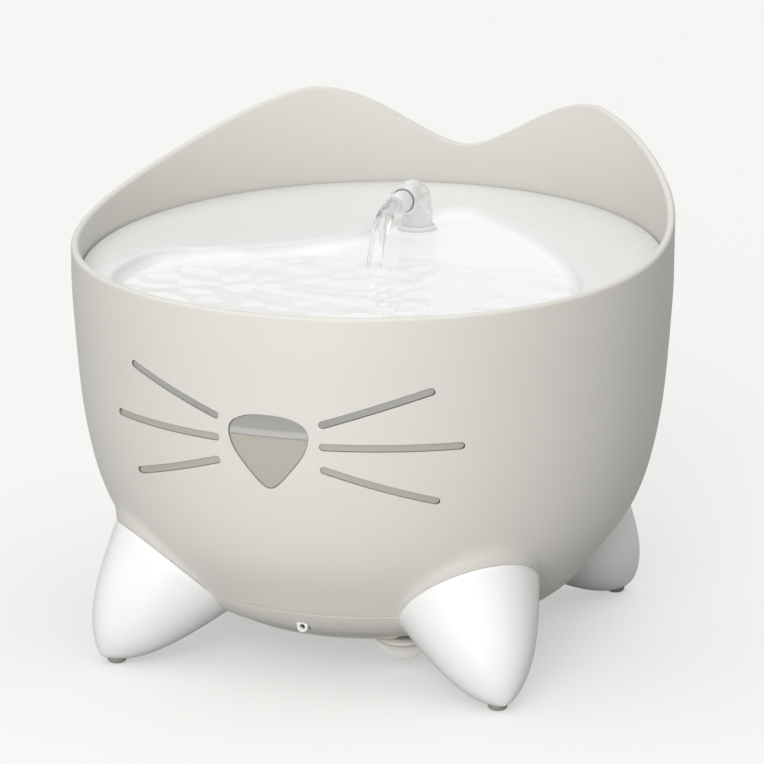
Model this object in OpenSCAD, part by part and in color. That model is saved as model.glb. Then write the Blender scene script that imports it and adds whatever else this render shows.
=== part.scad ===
// Pet water fountain: a cat-shaped bowl on four splayed feet, with a tray, a clear spout,
// a submerged pump under a filter house, and a dry base that holds the electronics.
// Units are millimetres. The origin is on the floor under the bowl's axis, +Z is up,
// and the cat's face looks along -Y.

/* [Bowl] */
// Outer radius of the bowl at its rim
bowl_r = 112; // [100:1:125]
// Thickness of the bowl's wall
bowl_wall = 3; // [2:0.1:4]
// Height of the rim at the front
rim_h = 148; // [140:1:158]
// Height of the tips of the ears
ear_h = 186.6; // [175:0.2:200]
// Height of the dip between the ears
notch_h = 164.2; // [152:0.2:172]
// Angle from the back of the bowl to the tip of each ear
ear_angle = 32; // [24:2:44]
// How far the outer flank of an ear runs round the rim, in degrees
ear_spread = 41.2; // [30:0.2:55]
// Height of the underside of the base
base_h = 12.6; // [9:0.1:15]
// Height of the seam between the bowl and the base pan
seam_h = 29.9; // [27:0.1:31]
// Height of the underside of the tank's floor
floor_h = 34; // [33:0.5:36]
// Thickness of the tank's floor
floor_t = 3; // [2:0.1:4]

/* [Legs] */
// Radius of a leg where the sock meets the knee
leg_r = 26.75; // [24:0.25:28]
// Length of a sock along its axis
leg_len = 42.96; // [40:0.02:44]
// Angle of a leg's axis below the horizontal
leg_tilt = 47.2; // [45:0.1:50]
// Height of the middle of a leg's seat
leg_seat_h = 34.64; // [34:0.02:36]
// Distance of a front leg's seat in from the bowl's radius
leg_inset_front = 29.6; // [28:0.1:32]
// Distance of a rear leg's seat in from the bowl's radius
leg_inset_rear = 34.2; // [32:0.1:36]
// Direction of a front leg's seat, from the side towards the front
leg_place_front = 45.7; // [42:0.1:50]
// Direction of a rear leg's seat, from the side towards the back
leg_place_rear = 37.1; // [34:0.1:44]
// Direction in which every leg points, from the side
leg_turn = 45; // [40:1:50]
// Thickness of a sock's wall
sock_wall = 2.5; // [1.8:0.1:3.5]
// Length of the knee behind its seam
knee_len = 8; // [6:0.5:9]
// Growth of the knee's radius for each millimetre towards the bowl
knee_flare = 1.1; // [0.8:0.05:1.2]
// Length of the spigot that a sock is pressed on
spigot_len = 4.5; // [3:0.5:6]
// Radius of a rubber foot pad
pad_r = 3.6; // [3:0.1:4.5]
// Height of a rubber foot pad
pad_h = 4.6; // [4:0.1:6]
// Horizontal distance from a leg's seat out to its pad
pad_reach = 23.2; // [21:0.1:25]

/* [Tray] */
// Thickness of the tray's deck
tray_t = 3; // [2:0.1:4]
// Height of the top of the deck at the bowl's axis
deck_h = 142.2; // [138:0.2:146]
// Tilt of the deck, low at the front
deck_tilt = 3.2; // [2:0.1:4]
// Height from the basin's floor up to the deck at the bowl's axis
basin_h = 4.2; // [3.2:0.1:8.2]
// Tilt of the basin's floor
basin_tilt = 4.66; // [4:0.02:5]
// Thickness of the basin's floor and wall
basin_t = 2.4; // [1.8:0.1:3]
// Radius of a drain hole
drain_r = 1.8; // [1.2:0.1:2.4]
// Number of drain holes along the front edge
drain_count = 15; // [7:2:21]
// Width of a lug that carries the tray
lug_w = 10; // [6:1:16]
// Height of a lug that carries the tray
lug_h = 8; // [5:0.5:12]
// Reach of a lug from the wall
lug_reach = 5; // [4:0.5:8]

/* [Spout] */
// Distance of the spout's axis in from the back of the bowl
spout_y = 61; // [59:0.5:63]
// Outer radius of the spout's tube
spout_r = 6; // [5.5:0.1:6.5]
// Radius of the spout's bore
spout_bore_r = 3.6; // [3:0.1:4]
// Radius of the bend's centre line
bend_r = 7; // [6.6:0.1:9]
// Height of the nozzle's axis above the deck at the bowl's axis
nozzle_h = 14.8; // [12.8:0.1:19.8]
// Length of the nozzle in front of the spout's axis
nozzle_len = 26; // [22:0.5:32]
// Outer radius of the nozzle's tip
nozzle_r = 4.2; // [3.8:0.1:4.6]
// Bore radius of the nozzle's tip
nozzle_bore_r = 3.2; // [2.2:0.1:3.3]
// Radius of the collar's flange
collar_r = 7.3; // [7.2:0.1:8.5]
// Height of the collar's flange over its boss
collar_t = 1.6; // [1:0.1:2.5]
// Outer radius of the riser tube
riser_r = 4.5; // [4.3:0.1:4.6]
// Bore radius of the riser tube
riser_bore_r = 3.5; // [3.3:0.1:3.6]

/* [Pump] */
// Width of the pump's motor block
pump_w = 40; // [38:0.5:44]
// Height of the pump's motor block
pump_h = 34; // [32:0.5:36]
// Length of the pump's motor block
motor_len = 26; // [25:0.5:28]
// Thickness of the pump's walls
pump_wall = 2.5; // [2:0.1:3]
// Outer radius of the impeller chamber
chamber_r = 17; // [16.6:0.1:17.5]
// Inner radius of the impeller chamber
chamber_bore_r = 13.5; // [13:0.1:13.8]
// Length of the impeller chamber along the shaft
chamber_len = 14; // [13:0.5:15]
// Height of a suction cup
cup_h = 4; // [3:0.1:5]
// Radius of a suction cup
cup_r = 6; // [5:0.1:7]
// Radius of the pump's shaft
shaft_r = 1; // [0.8:0.05:1.2]
// Radius of the rotor's magnet
magnet_r = 6; // [5.4:0.1:6.2]
// Radius of the impeller's vanes
vane_r = 12; // [10:0.1:12.4]
// Number of vanes on the impeller, and of slots in its cover
vane_count = 6; // [5:1:7]

/* [Filter] */
// Outer radius of the filter house
house_r = 60; // [59:0.5:64]
// Distance of the house's axis in from the back of the bowl
house_y = 98; // [97:0.5:100]
// Height of the filter house
house_h = 45; // [44:0.5:47]
// Thickness of the filter house's wall
house_wall = 2; // [1.5:0.1:2.5]
// Outer radius of the filter cartridge
filter_r = 28.2; // [26:0.1:28.4]
// Distance of the cartridge's axis in front of the pump's motor block
filter_y = 31; // [30.6:0.1:31.5]
// Height of the filter cartridge
filter_h = 12.3; // [11:0.1:13]
// Thickness of the cartridge's wall and floor
filter_wall = 1.5; // [1:0.1:2]
// Thickness of the carbon bed
carbon_t = 4; // [3:0.1:4.5]
// Thickness of the felt pad
felt_t = 4; // [3:0.1:4.2]

/* [Base] */
// Thickness of the base pan's wall and floor
pan_wall = 3; // [2:0.1:3.5]
// Width of the circuit board
board_w = 30; // [26:1:32]
// Thickness of the circuit board
board_t = 1.6; // [1:0.1:2]
// Height of the underside of the circuit board
board_h = 27; // [26:0.1:27.5]
// Radius of the power inlet's bore
inlet_r = 2.8; // [2:0.1:3]
// Depth of the power inlet's bore
inlet_depth = 9; // [6:0.5:10]
// Height of the power inlet's axis
inlet_h = 23.4; // [23:0.1:24]
// Radius of the service cap
cap_r = 11.5; // [11:0.1:12.5]
// Distance of the service cap's axis in from the right side of the bowl
cap_x = 84.6; // [84:0.2:85]
// Distance of the service cap's axis in from the front of the bowl
cap_y = 67.8; // [67:0.2:69]
// Radius of the half-round finger tab under the service cap
tab_r = 11; // [9:0.1:11.2]
// Direction of the finger tab, turned from the bowl's front
tab_turn = 15; // [0:1:90]
// Height of the status light's axis
light_h = 22.7; // [22.5:0.1:23.5]
// Outer radius of the status light's bezel
bezel_r = 2.1; // [1.8:0.1:2.4]
// Radius of the status light's lens
lens_r = 0.95; // [0.7:0.05:1.2]
// Distance of the bezel's face in from the front of the bowl
bezel_front = 36; // [34:0.5:37]

/* [Face] */
// Height from the middle of the nose window up to the deck at the bowl's axis
nose_h = 44.2; // [40.2:0.2:46.2]
// Width of the nose window
nose_w = 29.6; // [26:0.2:32]
// Height from the bottom of the nose window to its top
nose_tall = 27.4; // [24:0.2:30]
// Width of a whisker
whisker_w = 2.7; // [2:0.1:3.5]
// Width of the clear panel behind the face
panel_w = 140; // [134:1:146]
// Height of the clear panel behind the face
panel_tall = 54; // [53:0.5:56]
// Height of the panel's middle above the middle of the nose
panel_lift = 2.8; // [2.2:0.1:3.4]
// Thickness of the clear panel behind the face
panel_t = 2; // [1.5:0.1:3]
// Thickness of the gasket between the panel and the bowl
gasket_t = 1; // [0.6:0.1:1.5]
// Width of the gasket round the panel's edge
gasket_w = 3.6; // [2.5:0.1:4]

/* [Fits] */
// Gap between curved faces that don't touch
gap = 0.3; // [0.2:0.05:0.4]
// Gap round a shaft or a tube that turns or slides
run_gap = 0.05; // [0.03:0.01:0.1]
// Gap between pieces that are pressed or dropped together
fit_gap = 0.1; // [0.05:0.05:0.2]
// Gap between the tray's edge and the wall
tray_gap = 0.6; // [0.5:0.1:1.2]

/* [Hidden] */
$fn = 72;
eps = 0.01;

// Colours
shell_color = [0.89, 0.87, 0.84];
white = [0.95, 0.95, 0.94];
clear = [0.85, 0.90, 0.92, 0.5];
smoke = [0.62, 0.60, 0.56, 0.8];
dark = [0.20, 0.20, 0.21];
steel = [0.75, 0.76, 0.78];
copper = [0.72, 0.45, 0.25];

// Bowl: how far its side lies inside bowl_r, and how high above the base, from the foot up
belly = [[55.5, 0], [36.8, 9.8], [25.3, 22.9], [11.3, 44.2], [3.8, 73.7], [0.4, 114.7], [0, 135.4]];
belly_steps = 3;
top_h = ear_h + 6;
tank_h = floor_h + floor_t;
inner_r = bowl_r - bowl_wall;
basin_z = deck_h - basin_h;
nozzle_z = deck_h + nozzle_h;
nose_z = deck_h - nose_h;
notch_ease = 0.85;
ear_ease = 1.48;
rim_steps = 90;
rim_cut = bowl_wall + 6;

// Legs: place of each seat as [x, y, direction], front left, front right, rear left, rear right
leg_ring_front = bowl_r - leg_inset_front;
leg_ring_rear = bowl_r - leg_inset_rear;
front_x = leg_ring_front * cos(leg_place_front);
front_y = -leg_ring_front * sin(leg_place_front);
rear_x = leg_ring_rear * cos(leg_place_rear);
rear_y = leg_ring_rear * sin(leg_place_rear);
legs = [
    [-front_x, front_y, 180 + leg_turn],
    [front_x, front_y, -leg_turn],
    [-rear_x, rear_y, 180 - leg_turn],
    [rear_x, rear_y, leg_turn]
];
// Outline of a sock: exponents of its round end and the hollow of its flank
sock_round = 1.843;
sock_blunt = 0.734;
sock_hollow = -0.434;
sock_steps = 12;
sock_solid_end = 15;
leg_clear = 0.4;

// Tray
tray_r = inner_r - tray_gap;
tray_h = deck_h - tray_t / cos(deck_tilt);
// Basin's outline as [direction from +X, distance in from the tray's edge], clockwise from above
basin = [
    [210.3, 11.2], [195.6, 19.1], [186.5, 28.9], [178.3, 56.4], [154.8, 71.9], [119.4, 71.7],
    [103.5, 59], [93.6, 45.3], [80.3, 32.3], [60.2, 38.1], [29.6, 38.8], [1.4, 28.4],
    [-15.6, 19.1], [-30.3, 11.2], [-50.8, 10.3], [-70.3, 10.7], [-90, 10.4], [-109.7, 10.7], [-129.2, 10.3]
];
basin_steps = 4;
basin_room = 60;
drain_ring = tray_r - 5.3;
drain_step = 6;
lug_angles = [-40, 20, 90, 160, 220];

// Spout
spout_back = bowl_r - spout_y;
boss_h = basin_z + spout_back * tan(basin_tilt) + 0.5;
boss_r = collar_r + 1;
boss_t = basin_t + 1;
sleeve_r = spout_r + 0.8;
spout_top = nozzle_z - bend_r;
clip_t = 1.4;
clip_play = 0.2;
clip_edge = 2;
spout_foot = boss_h - boss_t - clip_play - clip_t - clip_edge;
riser_end = 3.5;
riser_top = spout_top - riser_end;
nozzle_root = 14;
nozzle_grip = 5;
ring_t = 0.8;
ring_w = 2.2;
nozzle_cone = 2;

// Pump: its shaft runs along Y, and the riser stands over the impeller chamber
pump_foot = tank_h + cup_h;
pump_top = pump_foot + pump_h;
shaft_h = pump_foot + pump_h / 2;
chamber_front = spout_back - chamber_len / 2;
chamber_back = spout_back + chamber_len / 2;
motor_front = chamber_front - motor_len;
nipple_top = pump_top + 6;
nipple_bore_r = 2.4;
nipple_r = riser_bore_r - fit_gap;
well_r = magnet_r + 0.6;
well_wall = 1.5;
cover_t = 3;
dial_t = 2;
dial_r = 14;
dial_tab_w = 4;
dial_tab_len = 6;
spoke_start = 4.5;
intake_r = 12.3;
pump_skin = 2;
riser_socket = 2;
chamber_groove = 1.7;
chamber_seal_r = 0.6;
cup_socket = 1;
cup_rim = 0.8;
core_limb = 4;
core_half_w = 15;
core_half_h = 13.5;
core_t = 10;
coil_half_w = 3.9;
coil_len = 16;
coil_half_t = 9;
pickup_r = 10;
pickup_bore_r = 5;
magnet_bore_r = 2.4;
magnet_end = 0.4;
vane_t = 1.2;
vane_gap = 0.6;
vane_hub_r = 4;
shaft_end = 1.5;
bush_t = 2;
cup_x = 13;
cup_stem_r = 2.5;
dial_pin_r = 2.5;
riser_seal_t = 1.5;
chamber_ring = chamber_bore_r + chamber_groove;
well_front = motor_front + 2 * pump_wall;
shaft_front = well_front - bush_t;
rotor_front = well_front + vane_gap;
vane_len = chamber_len - 3;
cup_places = [motor_front + cup_r, chamber_front - cup_r];

// Filter house and cartridge
house_back = bowl_r - house_y;
filter_mid = motor_front - filter_y;
house_top = tank_h + house_h;
house_lid = 2.5;
pocket_r = filter_r + gap;
pocket_wall = 1.8;
pocket_depth = filter_h + filter_wall + 0.2;
filter_foot = house_top - filter_h;
core_r = filter_r - filter_wall - fit_gap;
felt_foot = filter_foot + filter_wall + carbon_t + fit_gap;
slot_w = 3;
slot_step = 5.7;
slot_edge = 2;
grille_r = pocket_r - 4;
grip_len = 14;
grip_t = 2;
grip_h = 8.3;
sponge_w = 50;
sponge_ahead = 23.3;
riser_hole_gap = 0.5;

// Base
bezel_face = bowl_r - bezel_front;
cap_right = bowl_r - cap_x;
cap_front = bowl_r - cap_y;
pan_top = seam_h;
pan_floor = base_h + pan_wall;
screw_places = [[36, 18], [-36, 18], [36, -18], [-36, -18]];
screw_r = 1.25;
screw_head_r = 2.8;
screw_head_t = 1.3;
screw_len = 10;
boss_outer_r = 4;
inlet_back = bowl_r - 48.2;
board_front = 48 - bowl_r;
board_back = inlet_back;
post_x = board_w / 2 - 4;
post_front = board_front + 14;
post_back = board_back - 15.8;
post_places = [[post_x, post_front], [-post_x, post_front], [post_x, post_back], [-post_x, post_back]];
post_r = 2.5;
small_screw_r = 0.95;
small_head_r = 1.9;
small_head_t = 1.3;
small_screw_len = 5;
post_bore = 7;
chip_t = 1.2;
chip_w = 12;
chip_place = [-6, -34];
driver_w = 6;
driver_len = 8;
driver_place = [4, -14];
drive_bore_r = 6;
inlet_w = 10;
inlet_len = 12;
inlet_skin = 0.8;
led_w = 4;
led_r = 1.4;
led_nose = 1.5;
bezel_len = 9;
lens_sunk = 0.6;
cap_hole_r = 6;
cap_t = 2.3;
cap_tab_t = 3;
tab_lift = 1.6;
cap_lock_t = 1.5;
cap_lock_r = cap_hole_r + 1.4;
cap_lift = 0.2;
cap_key_w = 6;
seal_ring = cap_lock_r + 1.2;
seal_r = 0.7;

// Nose outline as [share of half width, share of height], from the top round the right side
nose_half = [[0, 1], [0.52, 0.975], [0.9, 0.875], [1, 0.72], [0.86, 0.485], [0.42, 0.175], [0.15, 0.03]];
nose_left = [for (i = [len(nose_half) - 1:-1:1]) [-nose_half[i][0], nose_half[i][1]]];
nose = concat(nose_half, [[0, 0]], nose_left);
nose_steps = 3;
panel_depth = bowl_wall + gasket_t + 2 * gap;
// Whiskers on the right side as [inner x, inner height, outer x, outer height] about the nose
whiskers = [[20, 11.5, 55.4, 23.5], [20, 3.3, 63.9, 3], [20, -5.3, 55.7, -17.2]];

// Height of the rim at an angle from the back of the bowl
function rim_z(a) = a < ear_angle
    ? notch_h + (ear_h - notch_h) * (1 - cos(180 * pow(a / ear_angle, notch_ease))) / 2
    : rim_h + (ear_h - rim_h) * exp(-pow((a - ear_angle) / ear_spread, ear_ease));

// Point at t from 0 to 1 between b and c on the smooth curve through a, b, c and d
function between(a, b, c, d, t) =
    b + 0.5 * t * (c - a + t * (2 * a - 5 * b + 4 * c - d + t * (3 * (b - c) + d - a)));

// Smooth closed curve through the points p, with n steps between each pair
function closed_curve(p, n) = let (m = len(p))
    [for (i = [0:m - 1]) for (j = [0:n - 1])
        between(p[(i + m - 1) % m], p[i], p[(i + 1) % m], p[(i + 2) % m], j / n)];

// Smooth open curve through the points p, with n steps between each pair
function open_curve(p, n) = let (m = len(p) - 1)
    concat([for (i = [0:m - 1]) for (j = [0:n - 1])
        between(i == 0 ? 2 * p[0] - p[1] : p[i - 1], p[i], p[i + 1],
            i == m - 1 ? 2 * p[m] - p[m - 1] : p[i + 2], j / n)], [p[m]]);

// Direction square to the curve c at point i, pointing to the right of its run
function side(c, i, closed) = let (
    m = len(c),
    a = closed ? c[(i + m - 1) % m] : c[max(i - 1, 0)],
    b = closed ? c[(i + 1) % m] : c[min(i + 1, m - 1)],
    d = b - a)
    [d[1], -d[0]] / norm(d);

// The curve c moved by d to the right of its run
function moved(c, d, closed) = [for (i = [0:len(c) - 1]) c[i] + d * side(c, i, closed)];

// Side of the bowl as [radius, height], moved in by inset
belly_line = open_curve([for (p = belly) [bowl_r - p[0], base_h + p[1]]], belly_steps);
function belly_points(inset) = moved(belly_line, -inset, false);

// Solid of the bowl's outside, moved in by inset, from height low to height high
module belly_solid(inset, low, high) {
    line = belly_points(inset);
    first = line[0];
    last = line[len(line) - 1];
    rotate_extrude() intersection() {
        polygon(concat([[0, first[1]]], line, [[last[0], top_h + 10], [0, top_h + 10]]));
        translate([0, low]) square([2 * bowl_r, high - low]);
    }
}

// Places its children on a leg: +Z runs down the leg's axis from the seam
module on_leg(leg) {
    translate([leg[0], leg[1], leg_seat_h])
        rotate([0, 0, leg[2]])
            rotate([0, 90 + leg_tilt, 0])
                children();
}

// Space taken by a leg, as a round bar of radius r that starts behind the seam
module leg_space(r, behind) {
    for (leg = legs) on_leg(leg) translate([0, 0, -behind]) cylinder(r = r, h = behind + leg_len + 10);
}

module knees() {
    intersection() {
        for (leg = legs) on_leg(leg) translate([0, 0, -knee_len])
            cylinder(r1 = leg_r + knee_flare * knee_len, r2 = leg_r, h = knee_len);
        translate([0, 0, seam_h]) cylinder(r = 2 * bowl_r, h = rim_h);
    }
    intersection() {
        for (leg = legs) on_leg(leg) translate([0, 0, -knee_len]) cylinder(r = leg_r, h = knee_len);
        cylinder(r = 2 * bowl_r, h = seam_h);
    }
}

// Everything above the rim line, which dips at the front and between the ears
module above_rim() {
    low_r = bowl_r - rim_cut;
    high_r = bowl_r + rim_cut;
    corner = function (i, r, z) let (a = 360 * i / rim_steps) [r * sin(a), r * cos(a), z];
    height = function (i) let (a = 360 * i / rim_steps) rim_z(min(a, 360 - a));
    points = [for (i = [0:rim_steps - 1]) each [
        corner(i, low_r, height(i)), corner(i, high_r, height(i)),
        corner(i, high_r, top_h + 5), corner(i, low_r, top_h + 5)
    ]];
    faces = [for (i = [0:rim_steps - 1]) for (k = [0:3]) let (
        a = 4 * i, b = 4 * ((i + 1) % rim_steps), n = (k + 1) % 4)
        [a + k, b + k, b + n, a + n]];
    polyhedron(points, faces, convexity = 6);
}

// Nose outline in the face's plane, grown by d
module nose_shape(d) {
    low = nose_z - nose_tall / 2;
    outline = closed_curve([for (p = nose) [p[0] * nose_w / 2, low + p[1] * nose_tall]], nose_steps);
    polygon(moved(outline, -d, true));
}

// One whisker in the face's plane, with round ends, grown by d
module whisker_shape(w, d) {
    length = norm([w[2] - w[0], w[3] - w[1]]);
    translate([w[0], nose_z + w[1]]) rotate(atan2(w[3] - w[1], w[2] - w[0])) {
        translate([0, -whisker_w / 2 - d]) square([length, whisker_w + 2 * d]);
        circle(r = whisker_w / 2 + d);
        translate([length, 0]) circle(r = whisker_w / 2 + d);
    }
}

// The face's openings run through the front wall, grown by d
module face_cut(d) {
    rotate([90, 0, 0]) translate([0, 0, bowl_r / 2]) linear_extrude(bowl_r) {
        nose_shape(d);
        for (w = whiskers) {
            whisker_shape(w, d);
            mirror([1, 0]) whisker_shape(w, d);
        }
    }
}

// Upright block in front of the bowl's axis that holds the panel behind the face, shrunk by d
module panel_block(d) {
    translate([-panel_w / 2 + d, -1.5 * bowl_r, nose_z + panel_lift - panel_tall / 2 + d])
        cube([panel_w - 2 * d, bowl_r, panel_tall - 2 * d]);
}

module shell() color(shell_color) {
    difference() {
        union() {
            difference() {
                union() {
                    belly_solid(0, seam_h, top_h);
                    knees();
                }
                difference() {
                    belly_solid(bowl_wall, seam_h - 1, floor_h);
                    leg_space(leg_r, knee_len);
                }
                difference() {
                    belly_solid(bowl_wall, tank_h, top_h + 1);
                    leg_space(leg_r + bowl_wall, bowl_wall);
                }
            }
            for (p = screw_places) translate([p[0], p[1], pan_floor]) {
                cylinder(r = boss_outer_r, h = floor_h - pan_floor + eps);
            }
            for (a = lug_angles) tray_lug(a);
        }
        above_rim();
        leg_space(leg_r + leg_clear, 0);
        face_cut(fit_gap);
        for (p = screw_places) translate([p[0], p[1], pan_floor - 1])
            cylinder(r = screw_r + fit_gap, h = 11);
    }
    for (leg = legs) on_leg(leg) {
        root_r = leg_r - sock_wall - gap;
        translate([0, 0, -1]) cylinder(r = root_r, h = 1 + eps);
        cylinder(r1 = root_r, r2 = sock_radius(spigot_len / leg_len) - sock_wall - gap, h = spigot_len);
    }
}

// Small block on the wall under the tray's edge
module tray_lug(a) {
    y = (inner_r - lug_reach / 2) * sin(a);
    top = tray_h + y * tan(deck_tilt) - fit_gap - lug_w / 2 * tan(deck_tilt);
    rotate(a) translate([inner_r - lug_reach, -lug_w / 2, top - lug_h])
        cube([lug_reach + bowl_wall / 2, lug_w, lug_h]);
}

// Curved sheet that follows the wall in front of the bowl's axis, from depth near to depth far
module wall_sheet(near, far) {
    difference() {
        belly_solid(near, nose_z - panel_tall, nose_z + panel_tall);
        belly_solid(far, nose_z - 2 * panel_tall, nose_z + 2 * panel_tall);
    }
}

module face_window() color(smoke) {
    intersection() {
        wall_sheet(0.1, panel_depth + panel_t / 2);
        face_cut(0);
    }
    intersection() {
        wall_sheet(panel_depth, panel_depth + panel_t);
        panel_block(0);
    }
}

module face_gasket() color(dark) intersection() {
    wall_sheet(bowl_wall + gap, bowl_wall + gap + gasket_t);
    difference() {
        panel_block(0);
        panel_block(gasket_w);
    }
}

// Radius of a sock at a share t of its length
function sock_radius(t) = leg_r * pow(1 - pow(t, sock_round), sock_blunt) * (1 + sock_hollow * t * (1 - t));

module foot(leg) color(white) difference() {
    on_leg(leg) difference() {
        rotate_extrude() polygon(concat([[0, 0]],
            [for (i = [0:sock_steps - 1]) let (t = 1 - pow(1 - i / sock_steps, 2))
                [sock_radius(t), t * leg_len]],
            [[0, leg_len]]));
        rotate_extrude() polygon(concat([[0, -1], [leg_r - sock_wall, -1]],
            [for (i = [0:6]) let (z = i * (leg_len - sock_solid_end) / 6)
                [sock_radius(z / leg_len) - sock_wall, z]],
            [[0, leg_len - sock_solid_end]]));
    }
    pad_place(leg) translate([0, 0, -1]) cylinder(r = pad_r + fit_gap, h = pad_h + 1);
}

// Places its children on the floor under a leg's pad
module pad_place(leg) {
    translate([leg[0] + pad_reach * cos(leg[2]), leg[1] + pad_reach * sin(leg[2]), 0]) children();
}

module pad(leg) color([0.62, 0.62, 0.61]) pad_place(leg) {
    cylinder(r1 = pad_r - 0.6, r2 = pad_r, h = 0.6);
    translate([0, 0, 0.6 - eps]) cylinder(r = pad_r, h = pad_h - 0.6 + eps);
}

module foot_front_left() foot(legs[0]);
module foot_front_right() foot(legs[1]);
module foot_rear_left() foot(legs[2]);
module foot_rear_right() foot(legs[3]);
module pad_front_left() pad(legs[0]);
module pad_front_right() pad(legs[1]);
module pad_rear_left() pad(legs[2]);
module pad_rear_right() pad(legs[3]);

module base_pan() color(shell_color) {
    difference() {
        union() {
            difference() {
                belly_solid(0, base_h, pan_top);
                belly_solid(pan_wall, pan_floor, pan_top + 1);
            }
            intersection() {
                belly_solid(0, base_h, pan_top);
                translate([0, inlet_back + gap, inlet_h]) rotate([-90, 0, 0])
                    cylinder(r = inlet_w / 2 + 2 * gap, h = bowl_r);
            }
            for (p = post_places) translate([p[0], p[1], pan_floor - eps])
                cylinder(r = post_r, h = board_h - pan_floor);
        }
        leg_space(leg_r + leg_clear, knee_len + leg_clear);
        for (p = screw_places) translate([p[0], p[1], base_h - 1]) {
            cylinder(r = screw_r + gap, h = pan_wall + 2);
            cylinder(r = screw_head_r + gap, h = 1 + pan_wall / 2);
        }
        for (p = post_places) translate([p[0], p[1], board_h - post_bore])
            cylinder(r = small_screw_r + fit_gap, h = post_bore + 1);
        translate([0, inlet_back - 1, inlet_h]) rotate([-90, 0, 0])
            cylinder(r = inlet_w / 2 - fit_gap, h = bowl_r);
        translate([0, -bezel_face, light_h]) rotate([-90, 0, 0])
            cylinder(r = bezel_r + fit_gap, h = 2 * bezel_len);
        translate([cap_right, -cap_front, base_h - 1]) {
            cylinder(r = cap_hole_r + gap, h = pan_wall + 2);
            translate([0, 0, pan_wall + 1]) cylinder(r = cap_lock_r + gap, h = pan_wall);
            intersection() {
                cylinder(r = cap_lock_r + gap, h = pan_wall + 2);
                rotate(tab_turn + 90) translate([-cap_r, -cap_key_w / 2 - gap, 0])
                    cube([2 * cap_r, cap_key_w + 2 * gap, pan_wall + 2]);
            }
        }
    }
}

module base_screws() color(steel) for (p = screw_places) translate([p[0], p[1], base_h + pan_wall / 2]) {
    translate([0, 0, -screw_head_t]) cylinder(r = screw_head_r, h = screw_head_t);
    translate([0, 0, -eps]) cylinder(r = screw_r, h = screw_len);
}

module circuit_board() color([0.10, 0.38, 0.22]) difference() {
    translate([-board_w / 2, board_front, board_h]) cube([board_w, board_back - board_front, board_t]);
    for (p = post_places) translate([p[0], p[1], board_h - 1])
        cylinder(r = small_screw_r + fit_gap, h = board_t + 2);
}

module board_screws() color(steel) for (p = post_places) translate([p[0], p[1], board_h + board_t]) {
    cylinder(r = small_head_r, h = small_head_t);
    translate([0, 0, -board_t - small_screw_len])
        cylinder(r = small_screw_r, h = board_t + small_screw_len + eps);
}

module control_chip() color(dark) translate([0, 0, board_h + board_t]) {
    translate(chip_place) cube([chip_w, chip_w, chip_t]);
    translate(driver_place) cube([driver_w, driver_len, 2 * chip_t]);
}

// The middle of both coils lies under the pump's motor block
coil_y = (motor_front + chamber_front) / 2;

module drive_coil() color(copper) translate([0, coil_y, board_h + board_t]) difference() {
    height = floor_h - board_h - board_t - gap;
    cylinder(r = board_w / 2 - 1, h = height);
    translate([0, 0, -1]) cylinder(r = drive_bore_r, h = height + 2);
}

module power_inlet() color(dark) difference() {
    low = inlet_h - inlet_r - inlet_skin;
    translate([-inlet_w / 2, inlet_back - inlet_len, low]) cube([inlet_w, inlet_len, board_h - low]);
    translate([0, inlet_back - inlet_depth, inlet_h]) rotate([-90, 0, 0])
        cylinder(r = inlet_r, h = inlet_depth + 1);
}

module status_led() color([0.9, 0.95, 1]) {
    low = light_h - led_r - fit_gap;
    translate([-led_w / 2, board_front, low]) cube([led_w, led_w, board_h - low]);
    translate([0, board_front + eps, light_h]) rotate([90, 0, 0]) cylinder(r = led_r, h = led_nose);
}

module status_bezel() color(white) difference() {
    translate([0, -bezel_face, light_h]) rotate([-90, 0, 0]) cylinder(r = bezel_r, h = bezel_len);
    translate([0, -bezel_face - 1, light_h]) rotate([-90, 0, 0])
        cylinder(r = lens_r + run_gap, h = bezel_len + 2);
}

module status_lens() color(dark) translate([0, lens_sunk - bezel_face, light_h]) rotate([-90, 0, 0])
    cylinder(r = lens_r, h = bezel_face + board_front - led_nose - lens_sunk - gap);

module service_cap() color(shell_color) translate([cap_right, -cap_front, 0]) {
    disc_top = base_h - cap_lift;
    disc_foot = disc_top - cap_t;
    groove = seal_r + fit_gap;
    difference() {
        translate([0, 0, disc_foot]) cylinder(r = cap_r, h = cap_t);
        translate([0, 0, disc_top - 2 * seal_r]) difference() {
            cylinder(r = seal_ring + groove, h = cap_t);
            translate([0, 0, -1]) cylinder(r = seal_ring - groove, h = cap_t + 2);
        }
    }
    translate([0, 0, disc_foot]) cylinder(r = cap_hole_r, h = pan_floor + gap - disc_foot);
    translate([0, 0, pan_floor + cap_lift]) intersection() {
        cylinder(r = cap_lock_r, h = cap_lock_t);
        rotate(tab_turn) translate([-cap_r, -cap_key_w / 2, 0]) cube([2 * cap_r, cap_key_w, cap_lock_t]);
    }
    rotate(tab_turn) intersection() {
        translate([0, cap_tab_t / 2, disc_top + tab_lift]) rotate([90, 0, 0])
            cylinder(r = tab_r, h = cap_tab_t);
        translate([-cap_r, -cap_r, 0]) cube([2 * cap_r, 2 * cap_r, disc_foot + eps]);
    }
}

module service_seal() color(dark) translate([cap_right, -cap_front, base_h - cap_lift - seal_r])
    rotate_extrude() translate([seal_ring, 0]) circle(r = seal_r, $fn = 24);

// Places its children on the pump's shaft at a distance y behind the bowl's axis: +Z runs back
module on_shaft(y) {
    translate([0, y, shaft_h]) rotate([-90, 0, 0]) children();
}

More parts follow.
